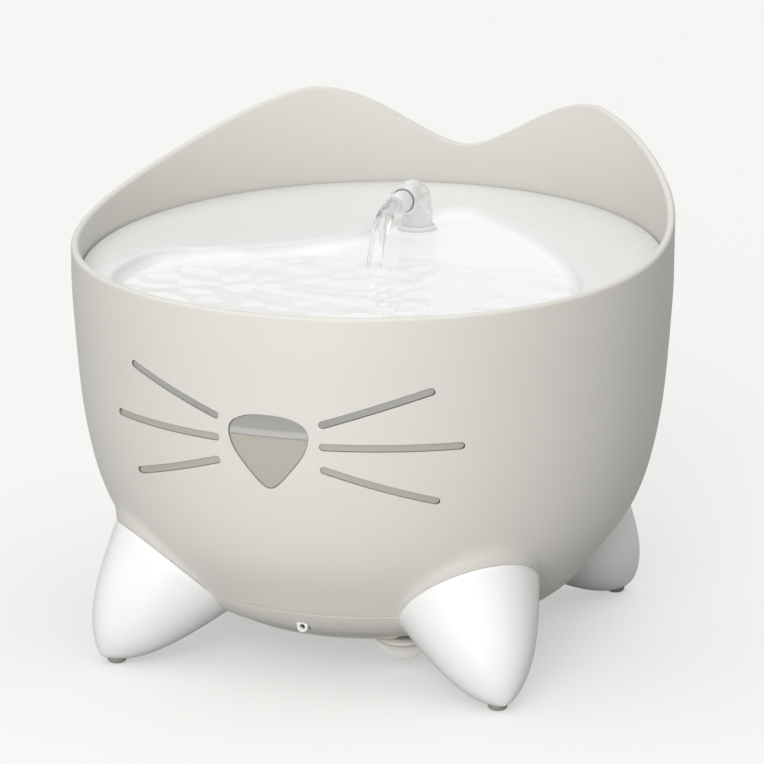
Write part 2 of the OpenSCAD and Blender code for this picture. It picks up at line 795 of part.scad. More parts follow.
module pump_body() color(dark) difference() {
    union() {
        translate([-pump_w / 2, motor_front, pump_foot]) cube([pump_w, motor_len, pump_h]);
        on_shaft(chamber_front - eps) cylinder(r = chamber_r, h = chamber_len + eps);
        translate([0, spout_back, shaft_h + chamber_bore_r])
            cylinder(r = riser_r + riser_socket, h = pump_top - shaft_h - chamber_bore_r + riser_socket);
        translate([0, spout_back, pump_top]) cylinder(r = nipple_r, h = nipple_top - pump_top);
    }
    difference() {
        translate([-pump_w / 2 + pump_wall, motor_front - 1, pump_foot + pump_skin])
            cube([pump_w - 2 * pump_wall, motor_len - pump_wall + 1, pump_h - 2 * pump_skin]);
        on_shaft(motor_front - 2) cylinder(r = well_r + well_wall, h = motor_len + 4);
    }
    on_shaft(motor_front - 1) cylinder(r = well_r + well_wall + 1, h = 1 + pump_wall);
    on_shaft(well_front) cylinder(r = well_r, h = motor_len);
    on_shaft(shaft_front) cylinder(r = 3 * shaft_r + fit_gap, h = 2 * bush_t);
    on_shaft(chamber_front) cylinder(r = chamber_bore_r, h = chamber_len + 1);
    on_shaft(chamber_back - 2 * (chamber_seal_r + fit_gap)) difference() {
        cylinder(r = chamber_ring + chamber_seal_r + gap, h = cover_t);
        translate([0, 0, -1]) cylinder(r = chamber_ring - chamber_seal_r - gap, h = cover_t + 2);
    }
    translate([0, spout_back, shaft_h]) cylinder(r = nipple_bore_r, h = nipple_top - shaft_h + 1);
    for (y = cup_places) for (x = [-cup_x, cup_x]) translate([x, y, pump_foot - 1])
        cylinder(r = cup_stem_r + fit_gap, h = 1 + cup_socket);
}

module motor_cover() color(dark) {
    translate([-pump_w / 2 + pump_wall + fit_gap, motor_front, pump_foot + pump_skin + fit_gap])
        cube([pump_w - 2 * (pump_wall + fit_gap), pump_wall - fit_gap, pump_h - 2 * (pump_skin + fit_gap)]);
}

module stator_core() color(steel) translate([0, coil_y + core_t / 2, shaft_h]) rotate([90, 0, 0])
    linear_extrude(core_t) difference() {
        square([2 * core_half_w, 2 * core_half_h], center = true);
        square(2 * [core_half_w - core_limb, core_half_h - core_limb], center = true);
    }

module stator_coils() color(copper) for (side = [-1, 1])
    translate([side * (core_half_w - core_limb / 2), coil_y, shaft_h]) difference() {
        cube([2 * coil_half_w, 2 * coil_half_t, coil_len], center = true);
        cube([core_limb + 2 * fit_gap, core_t + 2 * fit_gap, coil_len + 2], center = true);
    }

module pickup_coil() color(copper) translate([0, coil_y, pump_foot + pump_skin]) difference() {
    height = shaft_h - core_half_h - pump_foot - pump_skin - fit_gap;
    cylinder(r = pickup_r, h = height);
    translate([0, 0, -1]) cylinder(r = pickup_bore_r, h = height + 2);
}

module rotor_shaft() color(white) on_shaft(shaft_front)
    cylinder(r = shaft_r, h = chamber_back + cover_t - shaft_end - shaft_front);

module shaft_bushings() color(dark) {
    on_shaft(shaft_front) difference() {
        cylinder(r = 3 * shaft_r, h = bush_t);
        translate([0, 0, -1]) cylinder(r = shaft_r + run_gap, h = bush_t + 2);
    }
    on_shaft(chamber_back - fit_gap) difference() {
        cylinder(r = 2 * shaft_r, h = bush_t - fit_gap);
        translate([0, 0, -1]) cylinder(r = shaft_r + run_gap, h = bush_t + 2);
    }
}

module impeller() color(white) difference() {
    union() {
        on_shaft(rotor_front) cylinder(r = magnet_bore_r, h = chamber_back - bush_t - rotor_front);
        on_shaft(chamber_front + vane_gap) {
            cylinder(r = vane_r, h = vane_t);
            cylinder(r = vane_hub_r, h = vane_len);
            for (i = [1:vane_count]) rotate(360 * i / vane_count)
                translate([0, -vane_t / 2, 0]) cube([vane_r, vane_t, vane_len]);
        }
    }
    on_shaft(rotor_front - 1) cylinder(r = shaft_r + run_gap, h = motor_len + chamber_len);
}

module rotor_magnet() color([0.3, 0.3, 0.32]) on_shaft(rotor_front) difference() {
    cylinder(r = magnet_r, h = chamber_front - rotor_front - magnet_end);
    translate([0, 0, -1]) cylinder(r = magnet_bore_r + run_gap, h = motor_len);
}

// Slots like the gaps between spokes, through a disc of thickness h
module spoke_slots(h) {
    for (i = [1:vane_count]) rotate(360 * i / vane_count) translate([spoke_start, -slot_w / 2, -1])
        cube([intake_r - spoke_start, slot_w, h + 2]);
}

module intake_cover() color(dark) on_shaft(chamber_back) difference() {
    union() {
        cylinder(r = chamber_r, h = cover_t);
        translate([0, 0, cover_t - eps]) cylinder(r = dial_pin_r, h = dial_t + 1);
    }
    spoke_slots(cover_t);
    translate([0, 0, -1]) cylinder(r = 2 * shaft_r + fit_gap, h = cover_t);
}

module intake_seal() color([0.3, 0.3, 0.3]) on_shaft(chamber_back - chamber_seal_r - fit_gap / 2)
    rotate_extrude() translate([chamber_ring, 0]) circle(r = chamber_seal_r, $fn = 24);

module flow_dial() color(white) on_shaft(chamber_back + cover_t + fit_gap) difference() {
    union() {
        cylinder(r = dial_r, h = dial_t);
        translate([-dial_tab_w / 2, -chamber_r - 1, 0]) cube([dial_tab_w, dial_tab_len, dial_t + 1.5]);
    }
    spoke_slots(dial_t);
    translate([0, 0, -1]) cylinder(r = dial_pin_r + run_gap, h = dial_t + 2);
}

module suction_cups() color([0.5, 0.5, 0.5]) for (y = cup_places) for (x = [-cup_x, cup_x])
    translate([x, y, tank_h]) {
        cylinder(r1 = cup_r, r2 = cup_stem_r, h = cup_h - cup_rim);
        cylinder(r = cup_stem_r, h = cup_h + cup_socket - fit_gap);
    }

module riser_tube() color(clear) translate([0, spout_back, pump_top + riser_socket]) difference() {
    height = riser_top - pump_top - riser_socket;
    cylinder(r = riser_r, h = height);
    translate([0, 0, -1]) cylinder(r = riser_bore_r, h = height + 2);
}

module riser_seal() color([0.3, 0.3, 0.3]) translate([0, spout_back, nipple_top + fit_gap]) difference() {
    cylinder(r = riser_bore_r - run_gap, h = riser_seal_t);
    translate([0, 0, -1]) cylinder(r = nipple_bore_r, h = riser_seal_t + 2);
}

module filter_house() color(white) difference() {
    translate([0, house_back, 0]) union() {
        difference() {
            translate([0, 0, tank_h]) cylinder(r = house_r, h = house_h);
            translate([0, 0, tank_h - 1]) cylinder(r = house_r - house_wall, h = house_h - house_lid + 1);
        }
        translate([0, filter_mid - house_back, house_top - pocket_depth])
            cylinder(r = pocket_r + pocket_wall, h = pocket_depth);
    }
    translate([0, filter_mid, filter_foot - fit_gap]) cylinder(r = pocket_r, h = 2 * filter_h);
    translate([0, filter_mid, filter_foot - filter_h]) cylinder(r = grille_r, h = 2 * filter_h);
    translate([0, spout_back, house_top - house_lid - 1])
        cylinder(r = riser_r + riser_hole_gap, h = house_lid + 2);
}

sponge_back = motor_front - gap;
sponge_front = filter_mid - sponge_ahead;

module prefilter_sponge() color([0.25, 0.27, 0.30])
    translate([-sponge_w / 2, sponge_front, tank_h + gap])
        cube([sponge_w, sponge_back - sponge_front, house_top - pocket_depth - tank_h - 2 * gap]);

// Straight slots across a round grille of thickness h
module grille_slots(h) {
    for (i = [-4:4]) let (x = slot_step * i, half = sqrt(grille_r * grille_r - x * x) - slot_edge)
        translate([x - slot_w / 2, -half, -1]) cube([slot_w, 2 * half, h + 2]);
}

module filter_frame() color([0.80, 0.86, 0.90]) translate([0, filter_mid, filter_foot]) difference() {
    cylinder(r = filter_r, h = filter_h);
    translate([0, 0, filter_wall]) cylinder(r = filter_r - filter_wall, h = filter_h);
    grille_slots(filter_wall);
}

module carbon_bed() color([0.10, 0.10, 0.10]) translate([0, filter_mid, filter_foot + filter_wall])
    cylinder(r = core_r, h = carbon_t);

module felt_pad() color([0.97, 0.97, 0.95]) translate([0, filter_mid, felt_foot])
    cylinder(r = core_r, h = felt_t);

grille_foot = felt_foot + felt_t + fit_gap;

module filter_grille() color([0.80, 0.86, 0.90]) translate([0, filter_mid, grille_foot]) {
    difference() {
        cylinder(r = core_r, h = filter_foot + filter_h - grille_foot);
        grille_slots(filter_h);
    }
    translate([-grip_len / 2, -grip_t / 2, 1]) cube([grip_len, grip_t, grip_h]);
}

// Outline of the basin seen from above, grown by d
module basin_shape(d) {
    corners = [for (p = basin) (tray_r - p[1]) * [cos(p[0]), sin(p[0])]];
    polygon(moved(closed_curve(corners, basin_steps), -d, true));
}

// Everything above a plane that is tilted about X and stands at height z on the bowl's axis
module above_plane(z, tilt) {
    translate([0, 0, z]) rotate([tilt, 0, 0]) translate([-1.5 * bowl_r, -1.5 * bowl_r, 0])
        cube([3 * bowl_r, 3 * bowl_r, basin_room]);
}

module tray() color(white) difference() {
    union() {
        translate([0, 0, tray_h]) rotate([deck_tilt, 0, 0]) cylinder(r = tray_r, h = tray_t);
        difference() {
            intersection() {
                translate([0, 0, basin_z - basin_room / 2]) linear_extrude(basin_room) basin_shape(basin_t);
                above_plane(basin_z - basin_t, basin_tilt);
            }
            above_plane(deck_h - tray_t / 2, deck_tilt);
        }
        translate([0, spout_back, boss_h - boss_t]) cylinder(r = boss_r, h = boss_t);
    }
    difference() {
        intersection() {
            translate([0, 0, basin_z - basin_room / 2]) linear_extrude(basin_room) basin_shape(0);
            above_plane(basin_z, basin_tilt);
        }
        translate([0, spout_back, boss_h - boss_t]) cylinder(r = boss_r, h = boss_t);
    }
    translate([0, spout_back, boss_h]) cylinder(r = boss_r, h = basin_room);
    translate([0, spout_back, boss_h - boss_t - 1]) cylinder(r = sleeve_r + fit_gap, h = boss_t + 2);
    translate([0, spout_back, boss_h - boss_t - 10]) cylinder(r = collar_r + 2 * gap, h = 10);
    for (i = [0:drain_count - 1]) rotate(-90 + drain_step * (i - (drain_count - 1) / 2))
        translate([drain_ring, 0, deck_h - basin_room / 2]) cylinder(r = drain_r, h = basin_room);
}

module spout_collar() color(clear) translate([0, spout_back, boss_h]) difference() {
    union() {
        cylinder(r = collar_r, h = collar_t);
        translate([0, 0, -boss_t]) cylinder(r = sleeve_r, h = boss_t + eps);
    }
    translate([0, 0, -boss_t - 1]) cylinder(r = spout_r + run_gap, h = boss_t + collar_t + 2);
}

module spout() color(clear) translate([0, spout_back, 0]) difference() {
    union() {
        translate([0, 0, spout_foot]) cylinder(r = spout_r, h = spout_top - spout_foot + eps);
        translate([0, -bend_r, spout_top]) rotate([90, 0, 90]) rotate_extrude(angle = 90)
            translate([bend_r, 0]) circle(r = spout_r);
        translate([0, -bend_r + eps, nozzle_z]) rotate([90, 0, 0])
            cylinder(r = spout_r, h = nozzle_root - bend_r);
        translate([0, -nozzle_root + eps, nozzle_z]) rotate([90, 0, 0])
            cylinder(r1 = spout_r, r2 = nozzle_r + ring_t, h = nozzle_cone);
    }
    translate([0, 0, spout_foot - 1]) cylinder(r = riser_r + run_gap, h = riser_top + 0.5 - spout_foot + 1);
    translate([0, 0, spout_foot]) cylinder(r = spout_bore_r, h = spout_top - spout_foot + eps);
    translate([0, -bend_r, spout_top]) rotate([90, 0, 90]) rotate_extrude(angle = 90)
        translate([bend_r, 0]) circle(r = spout_bore_r);
    translate([0, -bend_r + eps, nozzle_z]) rotate([90, 0, 0]) cylinder(r = spout_bore_r, h = nozzle_root);
    translate([0, -nozzle_root - nozzle_cone + nozzle_grip, nozzle_z]) rotate([90, 0, 0])
        cylinder(r = nozzle_r + fit_gap, h = nozzle_grip + 1);
}

module spout_clip() color(white) translate([0, spout_back, spout_foot + clip_edge]) difference() {
    cylinder(r = collar_r, h = clip_t);
    translate([0, 0, -1]) cylinder(r = spout_r + run_gap, h = clip_t + 2);
}

module nozzle_tip() color(clear) translate([0, spout_back - nozzle_root - nozzle_cone, nozzle_z])
    rotate([90, 0, 0]) translate([0, 0, fit_gap - nozzle_grip]) difference() {
        cylinder(r = nozzle_r, h = nozzle_len - nozzle_root - nozzle_cone + nozzle_grip);
        translate([0, 0, -1]) cylinder(r = nozzle_bore_r, h = nozzle_len);
    }

module nozzle_ring() color(dark) translate([0, spout_back - nozzle_root - nozzle_cone - fit_gap, nozzle_z])
    rotate([90, 0, 0]) difference() {
        cylinder(r = nozzle_r + ring_t, h = ring_w);
        translate([0, 0, -1]) cylinder(r = nozzle_r + run_gap, h = ring_w + 2);
    }

shell();
face_window();
face_gasket();
foot_front_left();
foot_front_right();
foot_rear_left();
foot_rear_right();
pad_front_left();
pad_front_right();
pad_rear_left();
pad_rear_right();
base_pan();
base_screws();
circuit_board();
board_screws();
control_chip();
drive_coil();
power_inlet();
status_led();
status_bezel();
status_lens();
service_cap();
service_seal();
pump_body();
motor_cover();
stator_core();
stator_coils();
pickup_coil();
rotor_shaft();
shaft_bushings();
impeller();
rotor_magnet();
intake_cover();
intake_seal();
flow_dial();
suction_cups();
riser_tube();
riser_seal();
filter_house();
prefilter_sponge();
filter_frame();
carbon_bed();
felt_pad();
filter_grille();
tray();
spout_collar();
spout();
spout_clip();
nozzle_ring();
nozzle_tip();
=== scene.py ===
import bmesh
import bpy
import math
import numpy as np
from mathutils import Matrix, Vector


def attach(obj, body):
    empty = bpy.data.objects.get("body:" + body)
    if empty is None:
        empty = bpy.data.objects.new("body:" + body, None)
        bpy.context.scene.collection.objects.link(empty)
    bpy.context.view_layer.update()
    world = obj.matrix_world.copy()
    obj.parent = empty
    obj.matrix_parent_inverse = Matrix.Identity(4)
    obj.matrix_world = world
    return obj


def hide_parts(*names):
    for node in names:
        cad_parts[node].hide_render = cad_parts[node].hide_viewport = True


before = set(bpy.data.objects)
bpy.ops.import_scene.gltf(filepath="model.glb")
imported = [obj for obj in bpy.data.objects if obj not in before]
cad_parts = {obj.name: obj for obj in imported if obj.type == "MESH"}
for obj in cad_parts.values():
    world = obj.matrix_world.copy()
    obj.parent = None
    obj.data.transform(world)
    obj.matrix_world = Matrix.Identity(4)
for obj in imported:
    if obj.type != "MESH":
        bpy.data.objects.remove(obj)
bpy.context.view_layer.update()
MM = 0.001
rad = math.radians

# ------------------------ sizes, in millimetres
BOWL_R = 112.0
WALL = 3.0
SEAM = 29.9                    # height of the joint between bowl and base pan
BASE = 12.6                    # underside of the base pan
TANK_FLOOR, TANK_UNDER = 37.0, 34.0
EAR, NOTCH, RIM = 186.6, 164.2, 148.0    # tips of the ears, dip between them, front
LEG_R, LEG_LEN, LEG_TILT = 26.75, 42.96, rad(47.2)
SOCK_WALL = 2.5
SEAT_H = 34.64                 # height of a sock's mouth at its axis
FLARE, FLARE_END = 0.92, -8.0  # slope of a knee over its sock, and how far back it runs
SEATS = {}                     # x, y and bearing of each sock's mouth
for key, reach, place, turn in (("front", 82.4, -45.7, -45.0), ("rear", 77.8, 37.1, 45.0)):
    sx, sy = reach * math.cos(rad(place)), reach * math.sin(rad(place))
    SEATS[key + "_right"] = (sx, sy, rad(turn))
    SEATS[key + "_left"] = (-sx, sy, rad(180.0 - turn))
PAD_REACH = 23.2               # from a sock's mouth outward to its pad
DECK_H, DECK_SLOPE = 142.2, math.tan(rad(3.2))       # the tray's top at y = 0
FLOOR_H, FLOOR_SLOPE = 138.0, math.tan(rad(4.66))    # the basin's floor at y = 0
TRAY_R = 108.4
DRAINS, DRAIN_R, DRAIN_RING, DRAIN_STEP = 15, 1.8, 103.1, 6
SPOUT_Y, NOZZLE_H, BEND_R, SPOUT_R, SPOUT_BORE = 51.0, 157.0, 7.0, 6.0, 3.6
BOSS_BORE = 6.9                # hole of the tray in which the spout turns
BOSS_H = FLOOR_H + SPOUT_Y * FLOOR_SLOPE + 0.5
BOSS_FOOT = BOSS_H - 3.4
CAP_X, CAP_Y, CAP_HOLE = 27.4, 44.2, 7.4
TAB_R, TAB_MID, TAB_TURN = 11.0, 14.0, rad(15.0)
LIGHT_H, LIGHT_HOLE = 22.7, 2.5
INLET_H, INLET_HOLE = 23.4, 4.9
SCREW_X, SCREW_Y, SCREW_HOLE = 36, 18, 3.1


# ------------------------ small helpers
def catmull(p, n, closed=False):
    """Smooth curve through the points p, with n steps between each pair."""
    p = np.asarray(p, float)
    m = len(p)
    out = []
    for i in range(m if closed else m - 1):
        if closed:
            a, b, c, d = p[i - 1], p[i], p[(i + 1) % m], p[(i + 2) % m]
        else:
            b, c = p[i], p[i + 1]
            a = p[i - 1] if i else 2 * b - c
            d = p[i + 2] if i + 2 < m else 2 * c - b
        for j in range(n):
            t = j / n
            cubic = 2 * a - 5 * b + 4 * c - d + t * (3 * (b - c) + d - a)
            out.append(b + 0.5 * t * (c - a + t * cubic))
    if not closed:
        out.append(p[-1])
    return np.array(out)


def mesh_object(name, verts, faces):
    """Object of a mesh whose points are given in millimetres."""
    mesh = bpy.data.meshes.new(name)
    points = [tuple(v) for v in np.asarray(verts, float) * MM]
    mesh.from_pydata(points, [], [tuple(map(int, f)) for f in faces])
    obj = bpy.data.objects.new(name, mesh)
    bpy.context.collection.objects.link(obj)
    return obj


def make(name, verts, faces, body, material, replaces=(), slot=None):
    """A smooth mesh piece with points in millimetres that rides on a body."""
    obj = mesh_object(name, verts, faces)
    obj.data.validate()
    obj.data.update()
    for p in obj.data.polygons:
        p.use_smooth = True
    obj.data.materials.append(material)
    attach(obj, body)
    if replaces:
        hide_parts(*replaces)
    return obj


def grid_faces(rows, cols, wrap):
    """Faces of a grid of rows x cols points; wrap closes each row on itself."""
    out = []
    for i in range(rows - 1):
        for j in range(cols if wrap else cols - 1):
            n = (j + 1) % cols
            out.append((i * cols + j, i * cols + n, (i + 1) * cols + n, (i + 1) * cols + j))
    return out


def last_to_first(rows, cols):
    """Faces that join a grid's last row to its first one."""
    last = (rows - 1) * cols
    return [(last + j, last + (j + 1) % cols, (j + 1) % cols, j) for j in range(cols)]


def end_caps(rows, cols):
    """One face over a grid's first row and one over its last."""
    return [tuple(reversed(range(cols))), tuple((rows - 1) * cols + j for j in range(cols))]


def spin(profile, count):
    """Points and faces of an outline [radius, height] turned about Z.

    An end at radius 0 makes a cap. Otherwise the last ring joins the first.
    """
    profile = [tuple(p) for p in profile]
    verts, rings = [], []
    for r, z in profile:
        if r < 1e-6:
            rings.append([len(verts)])
            verts.append((0.0, 0.0, z))
        else:
            rings.append(list(range(len(verts), len(verts) + count)))
            for k in range(count):
                a = 2 * math.pi * k / count
                verts.append((r * math.cos(a), r * math.sin(a), z))
    faces = []
    closed = profile[0][0] > 1e-6 or profile[-1][0] > 1e-6
    pairs = list(zip(rings, rings[1:])) + ([(rings[-1], rings[0])] if closed else [])
    for lo, hi in pairs:
        for k in range(count):
            n = (k + 1) % count
            if len(lo) == 1 and len(hi) == 1:
                continue
            if len(lo) == 1:
                faces.append((lo[0], hi[n], hi[k]))
            elif len(hi) == 1:
                faces.append((lo[k], lo[n], hi[0]))
            else:
                faces.append((lo[k], lo[n], hi[n], hi[k]))
    return np.array(verts), faces


def outward(obj):
    """Turns a closed mesh's normals outward."""
    bm = bmesh.new()
    bm.from_mesh(obj.data)
    bmesh.ops.recalc_face_normals(bm, faces=bm.faces[:])
    bm.to_mesh(obj.data)
    bm.free()
    return obj


def carve(obj, cutters):
    """Cuts each cutter mesh out of a piece and removes the cutters."""
    for tool in cutters:
        mod = obj.modifiers.new("carve", "BOOLEAN")
        mod.operation = "DIFFERENCE"
        mod.solver = "EXACT"
        mod.object = tool
        dg = bpy.context.evaluated_depsgraph_get()
        done = bpy.data.meshes.new_from_object(obj.evaluated_get(dg))
        obj.modifiers.clear()
        obj.data = done
        bpy.data.objects.remove(tool)
    return obj


def crisp(obj, angle=32.0):
    """Smooth faces, with sharp edges where two of them meet at more than an angle in degrees."""
    for poly in obj.data.polygons:
        poly.use_smooth = True
    obj.data.set_sharp_from_angle(angle=rad(angle))
    return obj


def cutter(verts, faces):
    """A mesh object in millimetres that isn't a piece, for carve()."""
    return outward(mesh_object("cutter", verts, faces))


def tube(path, radii, sides, cap=True):
    """Tube mesh along a path with a radius at each point."""
    path = np.asarray(path, float)
    t = np.gradient(path, axis=0)
    t /= np.linalg.norm(t, axis=1)[:, None]
    side = np.array([1.0, 0.0, 0.0])
    verts = []
    for p, d, r in zip(path, t, radii):
        u = side - d * (side @ d)
        u /= np.linalg.norm(u)
        w = np.cross(d, u)
        for k in range(sides):
            a = 2 * math.pi * k / sides
            verts.append(p + r * (math.cos(a) * u + math.sin(a) * w))
    faces = grid_faces(len(path), sides, True)
    if cap:
        faces += end_caps(len(path), sides)
    return verts, faces


# ------------------------ materials
def new_material(name):
    """A material with its nodes, its links and its main shader."""
    mat = bpy.data.materials.new(name)
    mat.use_nodes = True
    n, l = mat.node_tree.nodes, mat.node_tree.links
    return mat, n, l, n["Principled BSDF"]


def fill(node, **inputs):
    """Sets inputs of a node by name, with _ for a space in the name."""
    for name, value in inputs.items():
        node.inputs[name.replace("_", " ")].default_value = value
    return node


def maths(n, operation, kind="Math"):
    """A maths node, or with VectorMath one for vectors."""
    node = n.new("ShaderNode" + kind)
    node.operation = operation
    return node


def wire(l, *rows):
    """Adds links, each given as a node and its output, then a node and its input."""
    for source, output, target, put in rows:
        l.new(source.outputs[output], target.inputs[put])


def lin(r, g, b):
    """Linear colour of an sRGB colour given from 0 to 255."""
    def one(c):
        c /= 255.0
        return c / 12.92 if c <= 0.04045 else ((c + 0.055) / 1.055) ** 2.4
    return (one(r), one(g), one(b), 1.0)


def grain_group():
    """Shared shader group: a faint moulded texture on Object coordinates, as mask and normal."""
    g = bpy.data.node_groups.new("moulded_grain", "ShaderNodeTree")
    sockets = (("Scale", "INPUT", "Float"), ("Strength", "INPUT", "Float"),
               ("Mask", "OUTPUT", "Float"), ("Normal", "OUTPUT", "Vector"))
    for name, way, kind in sockets:
        g.interface.new_socket(name, in_out=way, socket_type="NodeSocket" + kind)
    n, l = g.nodes, g.links
    gin, gout = n.new("NodeGroupInput"), n.new("NodeGroupOutput")
    co = n.new("ShaderNodeTexCoord")
    fine = fill(n.new("ShaderNodeTexNoise"), Detail=3.0)
    slow = fill(n.new("ShaderNodeTexNoise"), Scale=14.0, Detail=2.0)
    bump = fill(n.new("ShaderNodeBump"), Distance=0.0002)
    wire(l, (co, "Object", fine, "Vector"), (co, "Object", slow, "Vector"),
         (gin, "Scale", fine, "Scale"), (gin, "Strength", bump, "Strength"),
         (fine, "Fac", bump, "Height"), (slow, "Fac", gout, "Mask"),
         (bump, "Normal", gout, "Normal"))
    return g


GRAIN = grain_group()


def plastic(name, rgb, rough, vary, grain=900.0, strength=0.04, coat=0.0, specular=0.5,
            sheen=0.0, metallic=0.0, subsurface=0.0):
    """Moulded plastic, rubber or metal: a slow drift in colour and gloss, and a fine grain.

    rgb is the sRGB colour, rough the middle roughness, vary the share by which the colour
    drifts, grain the fineness of the grain and strength its depth.
    """
    mat, n, l, bsdf = new_material(name)
    grp = n.new("ShaderNodeGroup")
    grp.node_tree = GRAIN
    fill(grp, Scale=grain, Strength=strength)
    mix = n.new("ShaderNodeMix")
    mix.data_type = "RGBA"
    color = lin(*rgb)[:3]
    mix.inputs[6].default_value = tuple(c * (1 - vary) for c in color) + (1.0,)
    mix.inputs[7].default_value = tuple(min(1.0, c * (1 + vary)) for c in color) + (1.0,)
    wire(l, (grp, "Mask", mix, 0), (mix, 2, bsdf, "Base Color"))
    gloss = fill(n.new("ShaderNodeMapRange"), To_Min=max(0.0, rough - 0.04), To_Max=rough + 0.04)
    wire(l, (grp, "Mask", gloss, "Value"), (gloss, "Result", bsdf, "Roughness"),
         (grp, "Normal", bsdf, "Normal"))
    fill(bsdf, Specular_IOR_Level=specular, Coat_Weight=coat, Coat_Roughness=0.08,
         Metallic=metallic, Sheen_Weight=sheen, Subsurface_Weight=subsurface,
         Subsurface_Radius=(0.004, 0.004, 0.004))
    return mat


def clear(name, tint, ior, rough, shadow, strength=0.0, scale=60.0, milk=0.0):
    """Clear plastic or water. Shadow and diffuse rays pass it, so what lies behind stays lit.

    shadow is the share of light that passes, strength and scale the depth and fineness of
    its waviness, milk the share of the surface that is plain white instead of clear.
    """
    mat, n, l, bsdf = new_material(name)
    fill(bsdf, Base_Color=tint + (1.0,), Roughness=rough, IOR=ior, Transmission_Weight=1.0 - milk)
    if strength > 0:
        co = n.new("ShaderNodeTexCoord")
        noise = fill(n.new("ShaderNodeTexNoise"), Scale=scale, Detail=2.0)
        bump = fill(n.new("ShaderNodeBump"), Strength=strength, Distance=0.001)
        wire(l, (co, "Object", noise, "Vector"), (noise, "Fac", bump, "Height"),
             (bump, "Normal", bsdf, "Normal"))
    path = n.new("ShaderNodeLightPath")
    through = fill(n.new("ShaderNodeBsdfTransparent"), Color=(shadow, shadow, shadow, 1.0))
    either = maths(n, "MAXIMUM")
    mix = n.new("ShaderNodeMixShader")
    out = n["Material Output"]
    wire(l, (path, "Is Shadow Ray", either, 0), (path, "Is Diffuse Ray", either, 1),
         (either, "Value", mix, "Fac"), (bsdf, "BSDF", mix, 1), (through, "BSDF", mix, 2),
         (mix, "Shader", out, "Surface"))
    return mat


M_BOWL = plastic("bowl_plastic", (228, 226, 219), 0.45, 0.006, strength=0.02, specular=0.2)
M_WHITE = plastic("sock_plastic", (255, 255, 255), 0.30, 0.004, strength=0.02, coat=0.2)
M_TRAY = plastic("tray_plastic", (237, 237, 237), 0.28, 0.005, strength=0.02, coat=0.2)
# painted light: the bowl's plastic made lighter for the finger tab, which sits in shade under the
# pan
M_TAB_PAINTED_LIGHT = plastic("tab_plastic_painted_light", (253, 251, 245), 0.45, 0.006, strength=0.02, specular=0.2)
M_PAD = plastic("pad_rubber", (157, 155, 151), 0.62, 0.05, grain=1500.0, strength=0.15)
M_DARK = plastic("dark_seal", (52, 52, 54), 0.35, 0.1, strength=0.05)
M_RING = plastic("ring_rubber", (84, 85, 87), 0.3, 0.1, strength=0.05)
# painted shade: a darker grey for the inlays' bevels, where the clear edge shows a thin dark line
M_EDGE_SHADE = plastic("inlay_edge_painted_shade", (152, 150, 145), 0.15, 0.12, strength=0.02, coat=0.5)
# painted reflection: near-black glints on parts of the nose's bevel
M_PAINTED_GLINT = plastic("inlay_painted_glint", (38, 38, 38), 0.1, 0.3, strength=0.02, coat=0.6)
M_PUMP = plastic("pump_plastic", (44, 44, 47), 0.5, 0.08, grain=1800.0, strength=0.2)
M_STEEL = plastic("zinc_steel", (190, 192, 196), 0.32, 0.05, grain=2500.0, strength=0.08,
                  metallic=1.0)
M_COPPER = plastic("copper_wire", (190, 118, 74), 0.35, 0.12, grain=3500.0, strength=0.4,
                   metallic=1.0)
M_BOARD = plastic("board_green", (38, 104, 66), 0.4, 0.12, grain=700.0, strength=0.12)
M_SPONGE = plastic("foam", (70, 74, 80), 0.95, 0.3, grain=600.0, strength=1.0)
M_CARBON = plastic("carbon", (34, 34, 35), 0.8, 0.5, grain=500.0, strength=1.0)
M_FELT = plastic("felt", (236, 235, 230), 0.95, 0.06, grain=1600.0, strength=0.6, sheen=0.3)
M_FILTER = plastic("filter_plastic", (198, 212, 222), 0.4, 0.03, strength=0.05)
M_HOUSE = plastic("house_plastic", (236, 236, 234), 0.38, 0.01, strength=0.05)
M_CERAMIC = plastic("ceramic", (238, 238, 235), 0.15, 0.01, strength=0.01)
M_MAGNET = plastic("ferrite", (60, 60, 64), 0.55, 0.12, grain=1500.0, strength=0.2)
M_CUP = plastic("cup_rubber", (120, 121, 124), 0.3, 0.06, strength=0.05, subsurface=0.1)
M_LENS = plastic("smoked_lens", (38, 38, 40), 0.12, 0.05, strength=0.02, coat=0.5)

COLOURLESS, WATER_TINT = (1.0, 1.0, 1.0), (0.985, 0.992, 1.0)
PLASTIC_IOR, WATER_IOR = 1.45, 1.333
M_CLEAR = clear("clear_plastic", COLOURLESS, PLASTIC_IOR, 0.03, shadow=0.98, milk=0.5)
M_COLLAR = clear("collar_plastic", COLOURLESS, PLASTIC_IOR, 0.12, shadow=0.95, milk=0.8)
M_WATER = clear("water", WATER_TINT, WATER_IOR, 0.0, shadow=0.97)
M_STREAM = clear("stream_water", WATER_TINT, WATER_IOR, 0.0, shadow=0.95, strength=0.15,
                 scale=160.0)


def paint_basin_light(mat):
    """Painted light: lightens the tray under the deck's plane, with a soft edge on the slope, for
    the bright pool over it.

    The change starts 0.8 mm under the deck and is complete 2.8 mm under it.
    """
    n, l = mat.node_tree.nodes, mat.node_tree.links
    co = n.new("ShaderNodeTexCoord")
    drop = maths(n, "DOT_PRODUCT", "VectorMath")
    drop.inputs[1].default_value = (0.0, DECK_SLOPE, -1.0)
    depth = fill(n.new("ShaderNodeMapRange"), From_Min=(0.8 - DECK_H) * MM,
                 From_Max=(2.8 - DECK_H) * MM)
    mix = n.new("ShaderNodeMix")
    mix.data_type = "RGBA"
    mix.inputs[7].default_value = lin(254, 255, 255)
    base = n["Principled BSDF"].inputs["Base Color"]
    l.new(base.links[0].from_socket, mix.inputs[6])
    wire(l, (co, "Object", drop, 0), (drop, "Value", depth, "Value"), (depth, "Result", mix, 0))
    l.new(mix.outputs[2], base)


# painted light in the basin under the water
paint_basin_light(M_TRAY)


